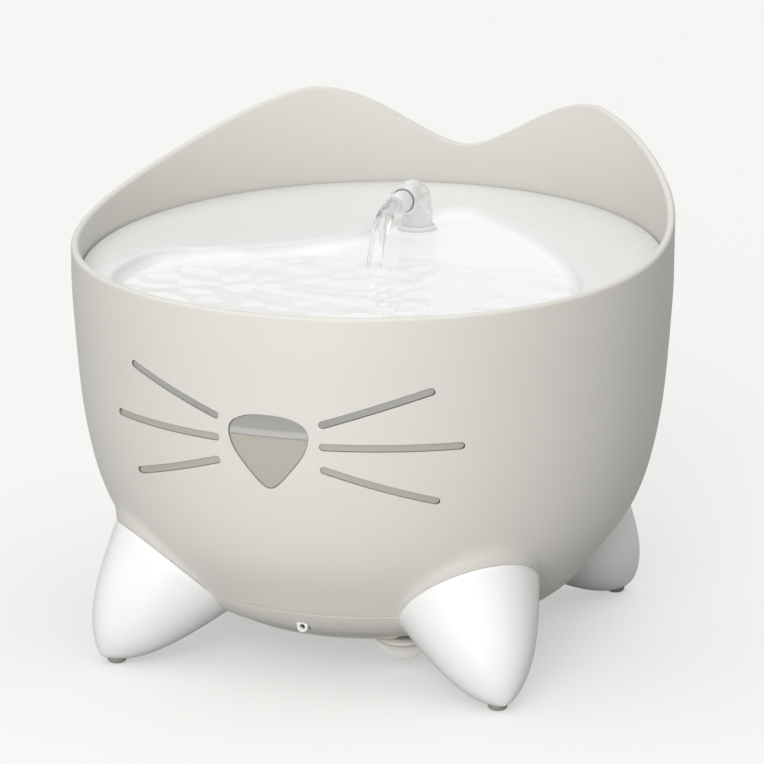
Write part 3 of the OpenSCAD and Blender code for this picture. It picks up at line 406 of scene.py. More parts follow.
def ramp_stops(ramp, stops):
    """Gives a colour ramp its stops of (position, colour)."""
    e = ramp.color_ramp.elements
    while len(e) < len(stops):
        e.new(0.5)
    for item, (at, color) in zip(e, stops):
        item.position, item.color = at, color


# height in metres and sRGB colour from the lowest point of the inlays to the highest: the view into
# the tank, with painted shade and a painted highlight
FACE_PAINTED_TONES = ((0.078, (186, 180, 170)), (0.0985, (190, 184, 174)), (0.1035, (187, 182, 172)),
              (0.1038, (146, 145, 141)), (0.1043, (198, 196, 192)), (0.1060, (193, 191, 187)),
              (0.1068, (170, 169, 165)), (0.1105, (167, 166, 162)), (0.124, (183, 181, 176)))


def face_material():
    """Clear inlay over the tank, painted: the tank seen through water, a dark water line with a
    painted highlight just above it, then the tank above the water in painted shade.
    """
    mat, n, l, bsdf = new_material("smoked_clear")
    co = n.new("ShaderNodeTexCoord")
    sep = n.new("ShaderNodeSeparateXYZ")
    noise = fill(n.new("ShaderNodeTexNoise"), Scale=55.0, Detail=2.0)
    wobble = maths(n, "MULTIPLY_ADD")
    wobble.inputs[1].default_value = 0.0006
    ramp = n.new("ShaderNodeValToRGB")
    low, high = FACE_PAINTED_TONES[0][0], FACE_PAINTED_TONES[-1][0]
    height = fill(n.new("ShaderNodeMapRange"), From_Min=low, From_Max=high)
    wire(l, (co, "Object", noise, "Vector"), (co, "Object", sep, "Vector"),
         (noise, "Fac", wobble, 0), (sep, "Z", wobble, 2), (wobble, "Value", height, "Value"),
         (height, "Result", ramp, "Fac"))
    ramp_stops(ramp, [((z - low) / (high - low), lin(*c)) for z, c in FACE_PAINTED_TONES])
    wire(l, (ramp, "Color", bsdf, "Base Color"))
    fill(bsdf, Roughness=0.12, Coat_Weight=0.6, Coat_Roughness=0.03)
    return mat


M_FACE = face_material()

# ------------------------ camera, floor and light
FOCAL, PHOTO_WIDE, SENSOR = 3551.9, 764.0, 36.0  # focal length and width in pixels, sensor in mm
CAMERA_AT, CAMERA_TO = (0.43037, -1.21302, 0.45478), (0.00324, 0.00114, 0.09450)
FLOOR_DULL = (185, 184, 183)
FLOOR_GLOW, FLOOR_GLOW_COLOR, FLOOR_GLOSS = 0.523, (246, 245, 244), 0.2
BACKDROP = (246, 245, 243)
# brightness by the cosine between a direction and an axis: -1 against it, 1 along it
SKY = ((-1.0, 0.0), (0.2, 0.0), (0.55, 0.35), (1.0, 1.58))
OVERHEAD = ((-1.0, 0.0), (0.6, 0.0), (0.85, 0.6), (1.0, 1.3))
DIM_SIDE = ((-1.0, 0.92), (0.35, 0.92), (0.62, 0.30), (1.0, 0.25))
UP, BACK_RIGHT = (0.0, 0.0, 1.0), (0.75, 0.65, 0.0)


def look(obj, at):
    """Points a camera or lamp at a place."""
    obj.rotation_euler = (Vector(at) - obj.location).to_track_quat("-Z", "Y").to_euler()


scene = bpy.context.scene
cam_data = bpy.data.cameras.new("camera")
cam = bpy.data.objects.new("camera", cam_data)
bpy.context.collection.objects.link(cam)
cam_data.sensor_width = SENSOR
cam_data.sensor_fit = "HORIZONTAL"
cam_data.lens = FOCAL / PHOTO_WIDE * SENSOR
cam_data.clip_end = 20.0
cam.location = CAMERA_AT
look(cam, CAMERA_TO)
scene.camera = cam
scene.view_settings.view_transform = "Standard"
scene.view_settings.look = "None"


def floor_material():
    """Pale dull floor that keeps the shadow, with a glow that lifts it to the backdrop's colour."""
    mat, n, l, bsdf = new_material("pale_floor")
    fill(bsdf, Base_Color=lin(*FLOOR_DULL), Roughness=1.0, Specular_IOR_Level=0.0)
    glow = fill(n.new("ShaderNodeEmission"), Color=lin(*FLOOR_GLOW_COLOR))
    share = maths(n, "MULTIPLY")
    share.inputs[1].default_value = FLOOR_GLOW
    add = n.new("ShaderNodeAddShader")
    l.new(seen_rays(n, l, FLOOR_GLOSS), share.inputs[0])
    wire(l, (share, "Value", glow, "Strength"), (bsdf, "BSDF", add, 0), (glow, "Emission", add, 1),
         (add, "Shader", n["Material Output"], "Surface"))
    return mat


def seen_rays(n, l, gloss=1.0):
    """Value of 1 for camera and transmission rays, of gloss for glossy rays, of 0 for others."""
    path, dim = n.new("ShaderNodeLightPath"), maths(n, "MULTIPLY")
    dim.inputs[1].default_value = gloss
    first, both = maths(n, "MAXIMUM"), maths(n, "MAXIMUM")
    wire(l, (path, "Is Camera Ray", first, 0), (path, "Is Glossy Ray", dim, 0),
         (dim, "Value", first, 1), (first, "Value", both, 0),
         (path, "Is Transmission Ray", both, 1))
    return both.outputs["Value"]


floor_mesh = bpy.data.meshes.new("floor")
floor_mesh.from_pydata([(-8, -8, 0), (8, -8, 0), (8, 8, 0), (-8, 8, 0)], [], [(0, 1, 2, 3)])
floor = bpy.data.objects.new("floor", floor_mesh)
bpy.context.collection.objects.link(floor)
floor.data.materials.append(floor_material())


def world_light():
    """Pale studio: light from overhead, a plain backdrop, and for gloss a dim side at the back."""
    world = bpy.data.worlds.new("studio")
    scene.world = world
    world.use_nodes = True
    n, l = world.node_tree.nodes, world.node_tree.links
    co = n.new("ShaderNodeTexCoord")

    def toward(vector, levels):
        """Grey that follows the levels from against a direction to along it."""
        v = np.array(vector) / np.linalg.norm(vector)
        dot = maths(n, "DOT_PRODUCT", "VectorMath")
        dot.inputs[1].default_value = tuple(v)
        span = fill(n.new("ShaderNodeMapRange"), From_Min=-1.0, From_Max=1.0)
        ramp = n.new("ShaderNodeValToRGB")
        ramp_stops(ramp, [((at + 1) / 2, (level, level, level * 0.99, 1)) for at, level in levels])
        wire(l, (co, "Generated", dot, 0), (dot, "Value", span, "Value"),
             (span, "Result", ramp, "Fac"))
        return ramp.outputs["Color"]

    back = n["Background"]
    l.new(toward(UP, SKY), back.inputs["Color"])
    seen, path = n.new("ShaderNodeBackground"), n.new("ShaderNodeLightPath")
    both, pick = maths(n, "ADD", "VectorMath"), n.new("ShaderNodeMix")
    l.new(toward(BACK_RIGHT, DIM_SIDE), both.inputs[0])
    l.new(toward(UP, OVERHEAD), both.inputs[1])
    pick.data_type = "RGBA"
    pick.inputs[6].default_value = lin(*BACKDROP)
    wire(l, (path, "Is Glossy Ray", pick, 0), (both, "Vector", pick, 7), (pick, 2, seen, "Color"))
    mix = n.new("ShaderNodeMixShader")
    l.new(seen_rays(n, l), mix.inputs["Fac"])
    wire(l, (back, "Background", mix, 1), (seen, "Background", mix, 2),
         (mix, "Shader", n["World Output"], "Surface"))


world_light()


def soft_sun(name, bearing, height, strength, spread):
    """Distant lamp: bearing in degrees right of the bowl's front, height in degrees."""
    data = bpy.data.lights.new(name, "SUN")
    data.energy, data.angle = strength, rad(spread)
    obj = bpy.data.objects.new(name, data)
    bpy.context.collection.objects.link(obj)
    a, h = rad(bearing), rad(height)
    away = 3
    obj.location = (math.sin(a) * math.cos(h) * away, -math.cos(a) * math.cos(h) * away,
                    math.sin(h) * away)
    look(obj, (0, 0, 0))


def soft_box(name, place, at, wide, tall, power):
    """Lamp close in front of the bowl and below its rim, hidden from camera rays."""
    data = bpy.data.lights.new(name, "AREA")
    data.energy, data.shape, data.size, data.size_y = power, "RECTANGLE", wide, tall
    obj = bpy.data.objects.new(name, data)
    bpy.context.collection.objects.link(obj)
    obj.location = place
    look(obj, at)
    obj.visible_camera = False


soft_sun("key", bearing=4.0, height=30.0, strength=0.93, spread=30.0)
soft_box("low", place=(0.04, -0.85, 0.088), at=(0, 0, 0.1), wide=0.40, tall=0.13, power=1.8)

# ------------------------ bowl
# radius and height along the bowl's side, and the direction in which it runs
BELLY = catmull([(56.5, 12.6), (75.2, 22.4), (86.7, 35.5), (100.7, 56.8), (108.2, 86.3),
                 (111.6, 127.3), (112.0, 148.0)], 24)
BELLY_RUN = np.gradient(BELLY, axis=0)
BELLY_RUN /= np.linalg.norm(BELLY_RUN, axis=1)[:, None]
KNEES_TOP = 76.0    # over this height the bowl is round again
SIDE_TOP = 112.0    # from here the rows of points follow the rim
RIM_ROUND = 1.35    # rounding of the rim's edges
KNEE_BLEND = 0.9


def belly(z):
    """Radius and outward normal [radial, up] of the bowl's side at height z."""
    z = np.asarray(z, float)
    r = np.interp(z, BELLY[:, 1], BELLY[:, 0])
    tr = np.interp(z, BELLY[:, 1], BELLY_RUN[:, 0])
    tz = np.interp(z, BELLY[:, 1], BELLY_RUN[:, 1])
    high = z > BELLY[-1, 1]
    tr, tz = np.where(high, 0.0, tr), np.where(high, 1.0, tz)
    n = np.hypot(tr, tz)
    return r, tz / n, -tr / n


def rim_z(a):
    """Rim height at a bearing a from the back, in degrees: dip, ears, then down to the front."""
    ear = 32.0
    a = np.abs((np.asarray(a, float) + 180.0) % 360.0 - 180.0)
    inner = NOTCH + (EAR - NOTCH) * (1 - np.cos(math.pi * np.minimum(a / ear, 1.0) ** 0.85)) / 2
    outer = RIM + (EAR - RIM) * np.exp(-(np.maximum(a - ear, 0.0) / 41.2) ** 1.48)
    return np.where(a < ear, inner, outer)


def leg_axis(seat):
    """Middle of a sock's mouth and the direction in which the sock points."""
    x, y, turn = seat
    flat = math.cos(LEG_TILT)
    way = np.array([flat * math.cos(turn), flat * math.sin(turn), -math.sin(LEG_TILT)])
    return np.array([x, y, SEAT_H]), way


def leg_coords(p, seat):
    """Distance of the points p along a sock's axis and away from it."""
    c, d = leg_axis(seat)
    v = p - c
    s = v @ d
    return s, np.linalg.norm(v - s[:, None] * d, axis=1)


def blend_min(a, b, k):
    """The smaller of a and b, with a smooth change where they differ by less than k."""
    h = np.clip(0.5 + 0.5 * (b - a) / k, 0.0, 1.0)
    return b * (1 - h) + a * h - k * h * (1 - h)


def skin(p):
    """Signed distance to the bowl with its knees, near its surface.

    A knee is widest behind its sock and narrows where it enters the sock.
    """
    r = np.hypot(p[:, 0], p[:, 1])
    br, nr, _ = belly(p[:, 2])
    best = (r - br) * nr
    for seat in SEATS.values():
        s, q = leg_coords(p, seat)
        cone = LEG_R - FLARE * np.minimum(s, 0)
        behind = LEG_R - FLARE * FLARE_END + 3.0 * (s - FLARE_END)
        flare = np.where(s > FLARE_END, cone, behind)
        flare -= np.clip(s + 1.8, 0, 1.8)
        on_cone = (s < 0) & (s > FLARE_END)
        knee = (q - flare) / np.where(on_cone, math.hypot(1.0, FLARE), 1.0)
        best = blend_min(best, np.maximum(knee, s - 2.5), KNEE_BLEND)
    return best


def push(p, n, reach, field):
    """Moves the points p along n to where the field turns positive."""
    lo, hi = np.zeros(len(p)), np.full(len(p), reach)
    for _ in range(26):
        mid = (lo + hi) / 2
        inside = field(p + n * mid[:, None]) < 0
        lo, hi = np.where(inside, mid, lo), np.where(inside, hi, mid)
    return p + n * lo[:, None]


def tank(p):
    """Negative inside the blocks that back the legs, as seen from the tank."""
    best = np.full(len(p), 1e3)
    for seat in SEATS.values():
        s, q = leg_coords(p, seat)
        best = np.minimum(best, np.maximum(q - LEG_R - WALL, -WALL - s))
    return best


# points in a row round the bowl, their angles, and their bearings from the back in degrees
COLS = 540
TH = np.arange(COLS) * 2 * math.pi / COLS
BACK = np.degrees(TH) - 90.0


def ring(r, z):
    """Row of points round the Z axis; radius and height may differ from point to point."""
    r, z = np.broadcast_to(r, TH.shape), np.broadcast_to(z, TH.shape)
    return np.stack([r * np.cos(TH), r * np.sin(TH), z], 1)


def side_row(z, inset=0.0):
    """Row of points on the plain side at height z, moved in by inset, and its outward normals."""
    r, nr, nz = belly(z)
    r, nr, nz = (np.broadcast_to(v, TH.shape) for v in (r, nr, nz))
    z = np.broadcast_to(z, TH.shape)
    n = np.stack([nr * np.cos(TH), nr * np.sin(TH), nz], 1)
    return ring(r, z) - n * inset, n


def dressed_row(z, inset=0.0):
    """Row of points at the side's height z, pushed out onto the knees, then moved in by inset."""
    p, n = side_row(z)
    return push(p, n, 18.0, skin) - n * inset


def seam_rows(way):
    """First rows over the seam (way 1) or under it (way -1), with the groove between the two."""
    groove = ((0.08, 0.35), (0.2, 0.06), (0.5, 0.0))
    return [dressed_row(SEAM + way * off, inset) for off, inset in groove]


def build_bowl():
    """Bowl with rim, ears and knees: up the outside, over the rim, down the inside to the floor."""
    round_top = rim_z(BACK) - RIM_ROUND

    def below_rim(u):
        return SIDE_TOP + (round_top - SIDE_TOP) * u

    rows = seam_rows(1)
    rows += [dressed_row(z) for z in np.linspace(SEAM + 1.2, KNEES_TOP - 2.0, 56)]
    rows += [side_row(z)[0] for z in np.linspace(KNEES_TOP, SIDE_TOP, 16)]
    rows += [ring(belly(below_rim(u))[0], below_rim(u)) for u in np.linspace(0.06, 1, 15)]
    for start, middle in ((0, BOWL_R - RIM_ROUND), (90, BOWL_R - WALL + RIM_ROUND)):
        for a in np.linspace(start, start + 90, 7)[1:]:
            rows.append(ring(middle + RIM_ROUND * math.cos(rad(a)),
                             round_top + RIM_ROUND * math.sin(rad(a))))
    rows += [ring(belly(below_rim(u))[0] - WALL, below_rim(u))
             for u in np.linspace(1, 0.06, 15)[1:]]
    for z in np.linspace(SIDE_TOP, TANK_FLOOR, 40):
        p, n = side_row(z, WALL)
        rows.append(push(p, -n, 26.0, tank) if z < KNEES_TOP else p)
    last = rows[-1].copy()
    last[:, 2] = TANK_FLOOR
    rows[-1] = last
    for k in (0.97, 0.9, 0.7, 0.45, 0.2):
        row = last.copy()
        row[:, :2] *= k
        rows.append(row)
    rows += [ring(81.0 * k, TANK_UNDER) for k in (0.2, 0.6, 0.9)]
    rows.append(side_row(TANK_UNDER, WALL)[0])
    rows.append(side_row(SEAM + 0.15, WALL)[0])
    faces = grid_faces(len(rows), COLS, True) + last_to_first(len(rows), COLS)
    return outward(make("bowl", np.concatenate(rows), faces, "root", M_BOWL, ("shell",),
                        "bowl_plastic"))


def build_pan():
    """Base pan with its share of the knees: down the outside, across the bottom, up the inside."""
    rows = seam_rows(-1)
    rows += [dressed_row(z) for z in np.linspace(SEAM - 1.2, BASE + 1.2, 22)]
    rows.append(ring(58.2, BASE + 0.35))
    rows.append(ring(56.4, BASE))
    rows += [ring(r, BASE) for r in (54.5, 40.0, 22.0, 8.0, 1.0)]
    rows += [ring(r, BASE + WALL) for r in (1.0, 20.0, 45.0, 55.0)]
    rows += [side_row(z, WALL)[0] for z in np.linspace(BASE + WALL + 1.5, SEAM - 0.15, 9)]
    faces = grid_faces(len(rows), COLS, True) + last_to_first(len(rows), COLS)
    return outward(make("base_pan_skin", np.concatenate(rows), faces, "root", M_BOWL, ("base_pan",),
                        "bowl_plastic"))


# ------------------------ face
NOSE_W, NOSE_H, NOSE_TALL = 29.6, 98.0, 27.4
# right half of the nose, as shares of its half width and of its height
NOSE = [(0, 1), (0.52, 0.975), (0.9, 0.875), (1, 0.72), (0.86, 0.485), (0.42, 0.175), (0.15, 0.03),
        (0, 0)]
NOSE += [(-x, y) for x, y in NOSE[-2:0:-1]]
NOSE = [(x * NOSE_W / 2, NOSE_H - NOSE_TALL / 2 + y * NOSE_TALL) for x, y in NOSE]
# x and height over the nose's middle at the start and at the end of each right whisker
WHISKERS = [(20, 11.5, 55.4, 23.5), (20, 3.3, 63.9, 3.0), (20, -5.3, 55.7, -17.2)]
WHISKER_HALF = 1.35
# shares of the nose's outline, from its start, where its edge gets a painted dark glint
NOSE_PAINTED_GLINTS = ((0.80, 0.825), (0.84, 0.87), (0.885, 0.93))
PANEL_X, PANEL_LOW, PANEL_HIGH = 69.8, 74.0, 127.6
PANEL_FRONT, PANEL_BACK = 4.6, 6.6    # depths of the curved panel behind the bowl's surface
BOSS_BACK, BOSS_SUNK = 6.0, 0.55      # depths of the bosses' back and of their front face


def whisker_outline(w):
    """Outline of one whisker with round ends, clockwise, in x and z."""
    a, b = np.array([w[0], NOSE_H + w[1]]), np.array([w[2], NOSE_H + w[3]])
    d = (b - a) / np.linalg.norm(b - a)
    s = np.array([-d[1], d[0]])
    h, turns = WHISKER_HALF, [math.pi * k / 12 for k in range(1, 12)]
    out = [a + (b - a) * t + s * h for t in np.linspace(0, 1, 15)]
    out += [b + h * (s * math.cos(t) + d * math.sin(t)) for t in turns]
    out += [a + (b - a) * t - s * h for t in np.linspace(1, 0, 15)]
    out += [a + h * (-s * math.cos(t) - d * math.sin(t)) for t in turns]
    return np.array(out)


def shrink(c, d):
    """Closed clockwise outline moved inward by d."""
    t = np.roll(c, -1, 0) - np.roll(c, 1, 0)
    t /= np.linalg.norm(t, axis=1)[:, None]
    return c + np.stack([t[:, 1], -t[:, 0]], 1) * d


def on_face(xz, depth):
    """Points of the bowl's front at x and z, sunk by depth along the wall's normal."""
    x, z = xz[:, 0], xz[:, 1]
    r, nr, nz = belly(z)
    y = -np.sqrt(r * r - x * x)
    n = np.stack([nr * x / r, nr * y / r, nz], 1)
    return np.stack([x, y, z], 1) - n * np.asarray(depth)[..., None]


def face_outlines():
    """Outlines of the nose and of the whiskers, each right one followed by its left twin."""
    outs = [catmull(NOSE, 8, closed=True)]
    for w in WHISKERS:
        c = whisker_outline(w)
        outs += [c, (c * (-1, 1))[::-1]]
    return outs


def slot_cutter(outline, grow):
    """Cutter through the front wall in the shape of an outline, wider by grow on each side."""
    c = shrink(outline, -grow)
    n = len(c)
    front = np.stack([c[:, 0], np.full(n, -125.0), c[:, 1]], 1)
    back = np.stack([c[:, 0], np.full(n, -70.0), c[:, 1]], 1)
    faces = [tuple(range(n)), tuple(range(2 * n - 1, n - 1, -1))]
    faces += [(i, n + i, n + (i + 1) % n, (i + 1) % n) for i in range(n)]
    return cutter(np.concatenate([front, back]), faces)


def build_face():
    """The bosses that fill the slots, bevelled at their edges, and the curved panel behind."""
    verts, faces, edge_shade_faces, painted_glint_faces = [], [], [], []

    def flat(xz, depth):
        return on_face(xz, depth * np.ones(len(xz)))

    def boss(outline, bevel, painted_glints):
        """One boss: its side, its bevelled edge, then rows that close on its middle."""
        start, n, sunk = len(verts), len(outline), BOSS_SUNK
        rows = [flat(outline, BOSS_BACK), flat(outline, sunk + bevel)]
        for k in (0.35, 0.7, 1.0):
            a = math.pi / 2 * k
            edge = shrink(outline, bevel * (1 - math.cos(a)))
            rows.append(flat(edge, sunk + bevel * (1 - math.sin(a))))
        mid, top = outline.mean(0), shrink(outline, bevel)
        rows += [flat(mid + (top - mid) * k, sunk) for k in (0.86, 0.66, 0.42, 0.2)]
        for row in rows:
            verts.extend(row)
        count = len(rows)
        for i in range(count - 1):
            for j in range(n):
                a, b = start + i * n + j, start + i * n + (j + 1) % n
                # bevel rows: painted shade on the inlays' edges, and painted dark glints on parts
                # of the nose's edge
                if 1 <= i <= 3:
                    mark = any(lo <= j / n < hi for lo, hi in painted_glints)
                    (painted_glint_faces if mark else edge_shade_faces).append(len(faces))
                faces.append((a, b, b + n, a + n))
        verts.append(on_face(mid[None], np.array([sunk]))[0])
        last = start + (count - 1) * n
        for j in range(n):
            faces.append((last + j, last + (j + 1) % n, len(verts) - 1))

    for i, outline in enumerate(face_outlines()):
        boss(outline, 0.16 if i else 0.2, () if i else NOSE_PAINTED_GLINTS)
    start = len(verts)
    xs, zs = np.linspace(-PANEL_X, PANEL_X, 49), np.linspace(PANEL_LOW, PANEL_HIGH, 19)
    n, m = len(xs), len(zs)
    for depth in (PANEL_FRONT, PANEL_BACK):
        for z in zs:
            verts.extend(flat(np.stack([xs, np.full(n, z)], 1), depth))
    for side in (0, 1):
        for i in range(m - 1):
            for j in range(n - 1):
                a = start + side * n * m + i * n + j
                faces.append((a, a + 1, a + n + 1, a + n))
    edge = [i * n for i in range(m)] + [(m - 1) * n + j for j in range(1, n)]
    edge += [i * n + n - 1 for i in range(m - 2, -1, -1)] + [j for j in range(n - 2, 0, -1)]
    for i in range(len(edge)):
        a, b = start + edge[i], start + edge[(i + 1) % len(edge)]
        faces.append((a, b, b + n * m, a + n * m))
    obj = make("face_inlays", verts, faces, "root", M_FACE, ("face_window",), "smoked_clear")
    for index, material, group in ((1, M_EDGE_SHADE, edge_shade_faces), (2, M_PAINTED_GLINT, painted_glint_faces)):
        obj.data.materials.append(material)
        for k in group:
            obj.data.polygons[k].material_index = index
    crisp(outward(obj))


# ------------------------ feet, pads, cap and light
def place_on_leg(p, seat):
    """Moves points from a sock's own axes, Z along the sock, to their place on the bowl."""
    c, d = leg_axis(seat)
    side = np.array([-math.sin(seat[2]), math.cos(seat[2]), 0.0])
    up = np.cross(d, side)
    return c + p[:, :1] * side + p[:, 1:2] * up + p[:, 2:3] * d


def sock_r(t):
    """Radius of a sock at the share t of its length."""
    return LEG_R * (1 - t ** 1.843) ** 0.734 * (1 - 0.434 * t * (1 - t))


def build_foot(name, seat):
    """Hollow sock: from the end of its hollow to the mouth, then along the outside to the toe."""
    hollow = LEG_LEN - 15.0
    outline = [(0.0, hollow)]
    outline += [(float(sock_r(s / LEG_LEN)) - SOCK_WALL, s) for s in np.linspace(hollow, 0.8, 10)]
    outline += [(LEG_R - SOCK_WALL - 0.2, 0.05), (LEG_R - 0.7, 0.05), (LEG_R - 0.28, 0.16),
                (LEG_R - 0.1, 0.42)]
    ts = [1 - (1 - u) ** 2.2 for u in np.linspace(0, 1, 44)]
    outline += [(float(sock_r(t)), t * LEG_LEN) for t in ts if t * LEG_LEN > 0.8 and t < 1]
    outline.append((0.0, LEG_LEN))
    verts, faces = spin(outline, 96)
    outward(make("sock_" + name, place_on_leg(verts, seat), faces, "root", M_WHITE,
                 ("foot_" + name,), "white_plastic"))


def build_knee_edge(name, seat):
    """Crisp edge of a knee at its sock: a thin ring whose outside continues the knee's cone."""
    outline = [(LEG_R - 1.5, -0.02), (LEG_R - 0.25, -0.02), (LEG_R - 0.05, -0.1),
               (LEG_R + 0.12, -0.3)]
    outline += [(LEG_R + FLARE * q + 0.03, -q) for q in (0.6, 1.2, 2.0, 2.8)]
    outline += [(LEG_R + FLARE * 3.4 - 0.25, -3.4), (LEG_R + 1.5, -3.4)]
    verts, faces = spin(outline, 240)
    outward(make("knee_edge_" + name, place_on_leg(verts, seat), faces, "root", M_BOWL, (),
                 "bowl_plastic"))


def build_pad(name, seat):
    """Rubber pad under a sock: a short round plug with a rounded foot."""
    verts, faces = spin([(0, 0), (1.9, 0), (2.6, 0.14), (3.1, 0.42), (3.45, 0.9), (3.6, 1.6),
                         (3.6, 4.55), (0, 4.55)], 48)
    x, y, turn = seat
    verts = verts + np.array([x + PAD_REACH * math.cos(turn), y + PAD_REACH * math.sin(turn), 0.0])
    outward(make("rubber_pad_" + name, verts, faces, "root", M_PAD, ("pad_" + name,),
                 "pad_rubber"))


def rod(r, start, end, sides=48):
    """A round bar between two points, to carve with."""
    return cutter(*tube([start, end], [r, r], sides))


def build_cap():
    """Service cap: a chamfered disc under the pan, with the half-round finger tab in front."""
    top, foot = BASE - 0.2, BASE - 2.5
    v, f = spin([(0, foot), (8.6, foot), (9.6, foot + 0.35), (10.4, foot + 1.2), (10.6, top - 0.25),
                 (10.4, top), (0, top)], 96)
    outward(make("service_cap_disc", v + np.array([CAP_X, -CAP_Y, 0]), f, "cap", M_BOWL,
                 ("service_cap",), "bowl_plastic"))
    half = 1.5
    rise = math.asin((TAB_MID - top + 0.1) / TAB_R)
    arc = np.linspace(math.pi + rise, 2 * math.pi - rise, 49)
    verts = []
    for y, inset in ((-half, 0.45), (-half + 0.13, 0.13), (-half + 0.45, 0.0),
                     (half - 0.45, 0.0), (half - 0.13, 0.13), (half, 0.45)):
        r = TAB_R - inset
        verts += [(r * math.cos(a), y, min(top - 0.1, TAB_MID + r * math.sin(a))) for a in arc]
    n, m = len(arc), len(verts) // len(arc)
    faces = grid_faces(m, n, False)
    faces += [tuple(range(n)), tuple(reversed(range((m - 1) * n, m * n)))]
    faces.append(tuple([i * n for i in range(m)] + [i * n + n - 1 for i in range(m - 1, -1, -1)]))
    c, q = math.cos(TAB_TURN), math.sin(TAB_TURN)
    x, y, z = np.array(verts).T
    turned = np.column_stack([x * c - y * q + CAP_X, x * q + y * c - CAP_Y, z])
    # the tab takes the bowl's plastic with painted light, lighter than the disc
    crisp(outward(make("service_cap_tab", turned, faces, "cap", M_TAB_PAINTED_LIGHT, (), "bowl_plastic")), 50.0)


def build_light():
    """White ring of the status light with its two small ears; the dark lens sits in it."""
    front, back, bore, stem, count = -76.9, -67.0, 1.02, 2.05, 96
    ang = np.arange(count) * 2 * math.pi / count
    ear = np.zeros(count)
    for at in (rad(38), rad(142)):
        d = np.abs((ang - at + math.pi) % (2 * math.pi) - math.pi)
        ear = np.maximum(ear, 1.15 * np.clip(1 - d / 0.42, 0, 1) ** 1.3)
    outer = stem + ear
    rows = []
    for r, y in ((bore, back), (bore, front + 0.2), (1.14, front), (outer - 0.16, front),
                 (outer, front + 0.2), (outer, front + 0.9), (stem, front + 1.3), (stem, back)):
        r = np.broadcast_to(r, count)
        rows.append(np.column_stack([r * np.cos(ang), np.full(count, y),
                                     LIGHT_H + r * np.sin(ang)]))
    faces = grid_faces(len(rows), count, True) + last_to_first(len(rows), count)
    crisp(outward(make("status_ring", np.concatenate(rows), faces, "root", M_WHITE,
                       ("status_bezel",), "white_plastic")))


bowl = build_bowl()
pan = build_pan()
crisp(carve(bowl, [slot_cutter(c, 0.1) for c in face_outlines()]))
openings = [rod(LIGHT_HOLE, (0, -90, LIGHT_H), (0, -66, LIGHT_H)),
            rod(INLET_HOLE, (0, 60, INLET_H), (0, 90, INLET_H)),
            rod(CAP_HOLE, (CAP_X, -CAP_Y, 10), (CAP_X, -CAP_Y, 18))]
openings += [rod(SCREW_HOLE, (x, y, 10), (x, y, 14.1))
             for x in (-SCREW_X, SCREW_X) for y in (-SCREW_Y, SCREW_Y)]
crisp(carve(pan, openings))
build_cap()
build_light()
build_face()
for key, seat in SEATS.items():
    build_foot(key, seat)
    build_knee_edge(key, seat)
    build_pad(key, seat)

# ------------------------ tray
# outline of the basin: bearing, and how far it stays inside the tray's edge
BASIN = [(210.3, 11.2), (195.6, 19.1), (186.5, 28.9), (178.3, 56.4), (154.8, 71.9), (119.4, 71.7),
         (103.5, 59), (93.6, 45.3), (80.3, 32.3), (60.2, 38.1), (29.6, 38.8), (1.4, 28.4),
         (-15.6, 19.1), (-30.3, 11.2), (-50.8, 10.3), (-70.3, 10.7), (-90, 10.4),
         (-109.7, 10.7), (-129.2, 10.3)]
BASIN = [((TRAY_R - q) * math.cos(rad(a)), (TRAY_R - q) * math.sin(rad(a))) for a, q in BASIN]
BASIN = catmull(BASIN, 16, closed=True)
BANK_IN, BANK_OUT = 5.0, 1.5    # the basin's bank runs from inside its outline to outside it
TRAY_ROUND, TRAY_THICK = 0.6, 3.0
HUB = np.array([10.0, 0.0])     # middle of the tray's rows of points
TCOLS = 360                     # points in a row, at the angles TA
TA = np.arange(TCOLS) * 2 * math.pi / TCOLS


def radial(points, hub, angles):
    """Distance from hub to a closed outline in each direction."""
    v = np.asarray(points) - hub
    a, r = np.arctan2(v[:, 1], v[:, 0]) % (2 * math.pi), np.hypot(v[:, 0], v[:, 1])
    o = np.argsort(a)
    a, r = a[o], r[o]
    a = np.concatenate([a - 2 * math.pi, a, a + 2 * math.pi])
    return np.interp(angles, a, np.concatenate([r, r, r]))


CIRCLE = np.array([(TRAY_R * math.cos(t), TRAY_R * math.sin(t))
                   for t in np.linspace(0, 2 * math.pi, 1440, endpoint=False)])
R_IN, R_OUT = radial(BASIN, HUB, TA), radial(CIRCLE, HUB, TA)
for _ in range(2):
    R_IN = (np.roll(R_IN, 1) + 2 * R_IN + np.roll(R_IN, -1)) / 4


def at_hub(r):
    """Points x and y all round the hub at distance r."""
    return np.stack([HUB[0] + r * np.cos(TA), HUB[1] + r * np.sin(TA)], 1)


def deck_z(xy):
    """Height of the deck's plane."""
    return DECK_H + DECK_SLOPE * xy[:, 1]


def floor_z(xy):
    """Height of the basin's floor."""
    return FLOOR_H + FLOOR_SLOPE * xy[:, 1]


def tray_row(r, height):
    """Row of points at distance r from the hub, at the height that a function gives."""
    xy = at_hub(r)
    return np.column_stack([xy, height(xy)])


def under_basin(xy):
    """Underside of the tray below the basin."""
    return np.minimum(floor_z(xy) - 2.4, deck_z(xy) - TRAY_THICK - 0.05)


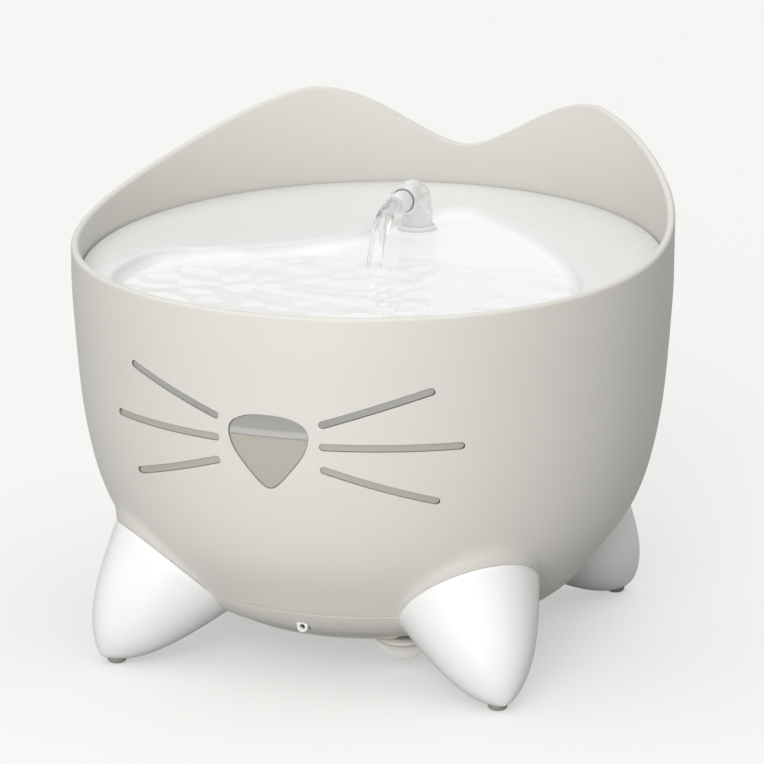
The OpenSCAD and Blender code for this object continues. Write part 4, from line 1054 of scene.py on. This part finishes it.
def bar_row_tree():
    """Geometry node tree: upright bars in a row along an arc round the Z axis, as one mesh."""
    tree = bpy.data.node_groups.new("bar_row", "GeometryNodeTree")
    for name, kind in (("Count", "Int"), ("Sides", "Int"), ("Radius", "Float"),
                       ("Arc Radius", "Float"), ("First Angle", "Float"), ("Step Angle", "Float"),
                       ("Low", "Float"), ("High", "Float"), ("Material", "Material")):
        tree.interface.new_socket(name, in_out="INPUT", socket_type="NodeSocket" + kind)
    tree.interface.new_socket("Mesh", in_out="OUTPUT", socket_type="NodeSocketGeometry")
    n, l = tree.nodes, tree.links
    given, out = n.new("NodeGroupInput"), n.new("NodeGroupOutput")
    index, place = n.new("GeometryNodeInputIndex"), n.new("ShaderNodeCombineXYZ")
    turn, cosine, sine = maths(n, "MULTIPLY_ADD"), maths(n, "COSINE"), maths(n, "SINE")
    x, y, middle = maths(n, "MULTIPLY"), maths(n, "MULTIPLY"), maths(n, "MULTIPLY")
    total, tall = maths(n, "ADD"), maths(n, "SUBTRACT")
    middle.inputs[1].default_value = 0.5
    points, bar = n.new("GeometryNodePoints"), n.new("GeometryNodeMeshCylinder")
    spread, real = n.new("GeometryNodeInstanceOnPoints"), n.new("GeometryNodeRealizeInstances")
    paint = n.new("GeometryNodeSetMaterial")
    wire(l, (index, 0, turn, 0), (given, "Step Angle", turn, 1), (given, "First Angle", turn, 2),
         (turn, 0, cosine, 0), (turn, 0, sine, 0), (cosine, 0, x, 0), (sine, 0, y, 0),
         (given, "Arc Radius", x, 1), (given, "Arc Radius", y, 1), (given, "Low", total, 0),
         (given, "High", total, 1), (total, 0, middle, 0), (given, "High", tall, 0),
         (given, "Low", tall, 1), (x, 0, place, 0), (y, 0, place, 1), (middle, 0, place, 2),
         (given, "Count", points, "Count"), (place, 0, points, "Position"),
         (given, "Sides", bar, "Vertices"), (given, "Radius", bar, "Radius"),
         (tall, 0, bar, "Depth"), (points, 0, spread, "Points"), (bar, "Mesh", spread, "Instance"),
         (spread, 0, real, 0), (real, 0, paint, "Geometry"), (given, "Material", paint, "Material"),
         (paint, 0, out, 0))
    return tree


def grown(tree, values):
    """Cutter that a node tree makes from values for its inputs, in metres and radians."""
    obj = mesh_object("cutter", [], [])
    mod = obj.modifiers.new("grow", "NODES")
    mod.node_group = tree
    for socket in tree.interface.items_tree:
        if socket.in_out == "INPUT":
            mod[socket.identifier] = values[socket.name]
    dg = bpy.context.evaluated_depsgraph_get()
    done = bpy.data.meshes.new_from_object(obj.evaluated_get(dg))
    obj.modifiers.clear()
    obj.data = done
    return outward(obj)


def build_tray():
    """Tray from the hub out over basin, bank and deck, round the edge and back underneath."""
    shares = (0.02, 0.15, 0.3, 0.45, 0.6, 0.72, 0.82, 0.9)
    rows = [tray_row(k * (R_IN - BANK_IN), floor_z) for k in shares]
    for u in np.linspace(0, 1, 13):
        w = u * u * (3 - 2 * u)
        rows.append(tray_row(R_IN - BANK_IN + (BANK_IN + BANK_OUT) * u,
                             lambda xy: floor_z(xy) * (1 - w) + deck_z(xy) * w))
    for u in np.linspace(0, 1, 9)[1:]:
        wide = R_OUT - TRAY_ROUND - R_IN - BANK_OUT
        rows.append(tray_row(R_IN + BANK_OUT + wide * u, deck_z))
    for a in (30, 60, 90):
        rows.append(tray_row(R_OUT - TRAY_ROUND + TRAY_ROUND * math.sin(rad(a)),
                             lambda xy: deck_z(xy) - TRAY_ROUND + TRAY_ROUND * math.cos(rad(a))))
    rows.append(tray_row(R_OUT, lambda xy: deck_z(xy) - TRAY_THICK + 0.1))
    for u in (0.6, 0.25, 0.0):
        rows.append(tray_row(R_IN + 2.4 + (R_OUT - 0.5 - R_IN - 2.4) * u,
                             lambda xy: deck_z(xy) - TRAY_THICK))
    rows.append(tray_row(R_IN + 2.3, under_basin))
    rows += [tray_row(k * R_IN, under_basin) for k in (0.9, 0.6, 0.3, 0.02)]
    faces = grid_faces(len(rows), TCOLS, True) + end_caps(len(rows), TCOLS)
    obj = outward(make("tray_skin", np.concatenate(rows), faces, "tray", M_TRAY, ("tray",),
                       "white_plastic"))
    low, high = 110.0, 160.0
    drains = grown(bar_row_tree(), {
        "Count": DRAINS, "Sides": 24, "Radius": DRAIN_R * MM, "Arc Radius": DRAIN_RING * MM,
        "First Angle": rad(-90 - DRAIN_STEP * (DRAINS // 2)), "Step Angle": rad(DRAIN_STEP),
        "Low": low * MM, "High": high * MM, "Material": M_TRAY})
    crisp(carve(obj, [drains, rod(BOSS_BORE, (0, SPOUT_Y, low), (0, SPOUT_Y, high), 64)]))


def round_the_spout(name, outline, material, replaces, slot):
    """Piece of the tray that is round about the spout's axis."""
    v, f = spin(outline, 72)
    outward(make(name, v + np.array([0, SPOUT_Y, 0]), f, "tray", material, replaces, slot))


build_tray()
round_the_spout("spout_boss", [
    (BOSS_BORE, BOSS_FOOT), (8.3, BOSS_FOOT), (8.3, BOSS_H - 0.5), (8.05, BOSS_H - 0.1),
    (7.7, BOSS_H), (BOSS_BORE, BOSS_H)], M_TRAY, (), "white_plastic")

# ------------------------ water
LEVEL = 136.6
LAND = np.array([0.0, 0.0])     # where the stream meets the pool


def ripple(xy):
    """Height of the moving water over its level: rings from the stream, bent by slow swells."""
    x, y = xy[:, 0], xy[:, 1]
    warp = 3.0 * np.sin(0.071 * x + 0.05 * y + 0.4) + 2.2 * np.sin(0.043 * x - 0.11 * y + 2.0)
    warp += 1.3 * np.sin(0.17 * x + 0.06 * y + 5.0) + 0.9 * np.sin(0.10 * x - 0.21 * y)
    d = np.hypot(x - LAND[0], y - LAND[1])
    near = np.exp(-d / 9.0)
    z = 0.5 * np.cos(d / 2.0) * near
    far = np.exp(-d / 60.0) * (1 - near)
    z += far * (0.16 * np.sin((d + warp) / 1.9) + 0.34 * np.sin((d - 1.7 * warp) / 3.4 + 1.0))
    cross = np.sin(0.07 * x - 0.15 * (y + warp) + 1.2)
    z += 0.22 * np.sin(0.16 * (x + 1.5 * warp) + 0.27 * y) * cross
    z += 0.08 * np.sin(0.33 * (x - warp) - 0.21 * (y + 1.3 * warp) + 2.2)
    return z


def water_z(xy):
    """Water surface: level at the front, a thin film up the slope behind, with a wavy end."""
    x, y = xy[:, 0], xy[:, 1]
    base = floor_z(xy)
    film = base + 0.9
    body = blend_min(-np.full(len(y), LEVEL), -film, 2.0) * -1    # the higher of level and film
    edge = 15.0 + 3.0 * np.sin(0.05 * x + 0.7) + 2.0 * np.sin(0.13 * x)
    fade = np.clip((y - edge + 7.0) / 7.0, 0, 1)
    fade = fade * fade * (3 - 2 * fade)
    top = np.maximum(body + ripple(xy), base + 0.3)
    return top * (1 - fade) + (base - 0.3) * fade


def build_water():
    """The pool as a closed body whose underside lies just inside the tray's floor."""
    scale = np.concatenate([[0.004], np.linspace(0.02, 1.0, 130)])
    shore = R_IN + 1.2
    rows = [tray_row(k * shore, water_z) for k in scale]
    rows += [tray_row(k * shore, lambda xy: np.minimum(floor_z(xy) - 0.8, water_z(xy) - 0.4))
             for k in scale[::-13]]
    faces = grid_faces(len(rows), TCOLS, True) + end_caps(len(rows), TCOLS)
    outward(make("pool_water", np.concatenate(rows), faces, "tray", M_WATER, (), "clear_plastic"))


build_water()


# ------------------------ spout
def spout_path(start, end):
    """Middle line of the spout: up from height start, round the bend and forward to y = end."""
    pts = [(0, SPOUT_Y, z) for z in np.linspace(start, NOZZLE_H - BEND_R, 8)]
    for a in np.linspace(0, 90, 12)[1:]:
        pts.append((0, SPOUT_Y - BEND_R + BEND_R * math.cos(rad(a)),
                    NOZZLE_H - BEND_R + BEND_R * math.sin(rad(a))))
    for y in np.linspace(SPOUT_Y - BEND_R, end, 8)[1:]:
        pts.append((0, y, NOZZLE_H))
    return np.array(pts)


def ahead(far):
    """Points on the nozzle's axis at distances in front of the spout's upright."""
    y = SPOUT_Y - np.asarray(far)
    return np.stack([0 * y, y, 0 * y + NOZZLE_H], 1)


def pipe(name, outer, inner, material, replaces, slot):
    """Closed pipe of the spout from an outer and an inner run of points with radii."""
    sides = 64
    vo, fo = tube(outer[0], outer[1], sides, cap=False)
    vi, fi = tube(inner[0], inner[1], sides, cap=False)
    no, ni = len(outer[0]), len(inner[0])
    base = len(vo)
    faces = list(fo) + [tuple(i + base for i in f[::-1]) for f in fi]
    for k in range(sides):
        n = (k + 1) % sides
        faces.append((k, base + k, base + n, n))
        a, b = (no - 1) * sides, base + (ni - 1) * sides
        faces.append((a + k, a + n, b + n, b + k))
    outward(make(name, list(vo) + list(vi), faces, "spout", material, replaces, slot))


foot_z = BOSS_FOOT - 0.2 - 1.4 - 2.0             # under the clip that holds the spout
outer_path, inner_path = spout_path(foot_z, SPOUT_Y - 14.0), spout_path(foot_z, SPOUT_Y - 11.2)
inner_r = [4.55 if p[2] < NOZZLE_H - BEND_R - 3.0 else SPOUT_BORE for p in inner_path]
outer_r = [SPOUT_R] * len(outer_path) + [5.75, 5.25, 5.0]
pipe("spout_elbow", (np.concatenate([outer_path, ahead([14.6, 15.4, 16.0])]), outer_r),
     (np.concatenate([inner_path, ahead([11.3, 16.0])]), inner_r + [4.3, 4.3]),
     M_CLEAR, ("spout",), "clear_plastic")
tip = ahead(np.linspace(11.5, 26.0, 8))
pipe("spout_mouth", (tip, [4.1] + [4.2] * 6 + [4.0]), (tip, [3.2] * 8), M_CLEAR, ("nozzle_tip",),
     "clear_plastic")
band = ahead([16.3, 16.4, 16.55, 16.75, 16.9, 17.0])
pipe("spout_ring", (band, [4.3, 4.45, 4.5, 4.5, 4.45, 4.3]), (band, [4.25] * 6), M_RING,
     ("nozzle_ring",), "seal_rubber")
round_the_spout("spout_flange", [
    (6.05, BOSS_FOOT), (6.8, BOSS_FOOT), (6.8, BOSS_H), (7.2, BOSS_H + 0.02), (7.3, BOSS_H + 0.3),
    (7.3, BOSS_H + 1.1), (7.0, BOSS_H + 1.5), (6.6, BOSS_H + 1.6), (6.05, BOSS_H + 1.6)],
    M_COLLAR, ("spout_collar",), "clear_plastic")

# the stream's middle line with eight steps between two points, and its radius at some of the steps
stream = catmull([(0, 36, 157), (0, 25, 157), (0, 17, 156.2), (0, 10.5, 153.4), (0, 6.2, 149.0),
                  (0, 3.0, 143.5), (0, 0.8, 138.4), (0, 0.0, 136.0)], 8)
stream_r = np.interp(np.arange(len(stream)), [0, 8, 16, 30, 44, 50, 56],
                     [3.1, 3.1, 3.2, 3.0, 2.7, 2.9, 3.8])
make("stream_water", *tube(stream, stream_r, 40), "spout", M_STREAM, (), "clear_plastic")
inside = spout_path(BOSS_H + 4.0, SPOUT_Y - 14.4)
make("spout_water", *tube(inside, [3.5] * len(inside), 40), "spout", M_WATER, (), "clear_plastic")

# ------------------------ looks of the CAD nodes that stay
FINISH = {
    M_BOARD: ("circuit_board",),
    M_CARBON: ("carbon_bed",),
    M_CERAMIC: ("status_led", "rotor_shaft"),
    M_CLEAR: ("riser_tube",),
    M_COPPER: ("drive_coil", "stator_coils", "pickup_coil"),
    M_CUP: ("suction_cups",),
    M_DARK: ("face_gasket", "service_seal", "shaft_bushings", "intake_seal", "riser_seal"),
    M_FELT: ("felt_pad",),
    M_FILTER: ("filter_frame", "filter_grille"),
    M_HOUSE: ("impeller", "filter_house"),
    M_LENS: ("status_lens",),
    M_MAGNET: ("rotor_magnet",),
    M_PUMP: ("control_chip", "power_inlet", "pump_body", "motor_cover", "intake_cover"),
    M_SPONGE: ("prefilter_sponge",),
    M_STEEL: ("base_screws", "board_screws", "stator_core"),
    M_WHITE: ("flow_dial", "spout_clip"),
}
for material, nodes in FINISH.items():
    for node in nodes:
        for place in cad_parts[node].material_slots:
            place.material = material

bpy.context.view_layer.update()
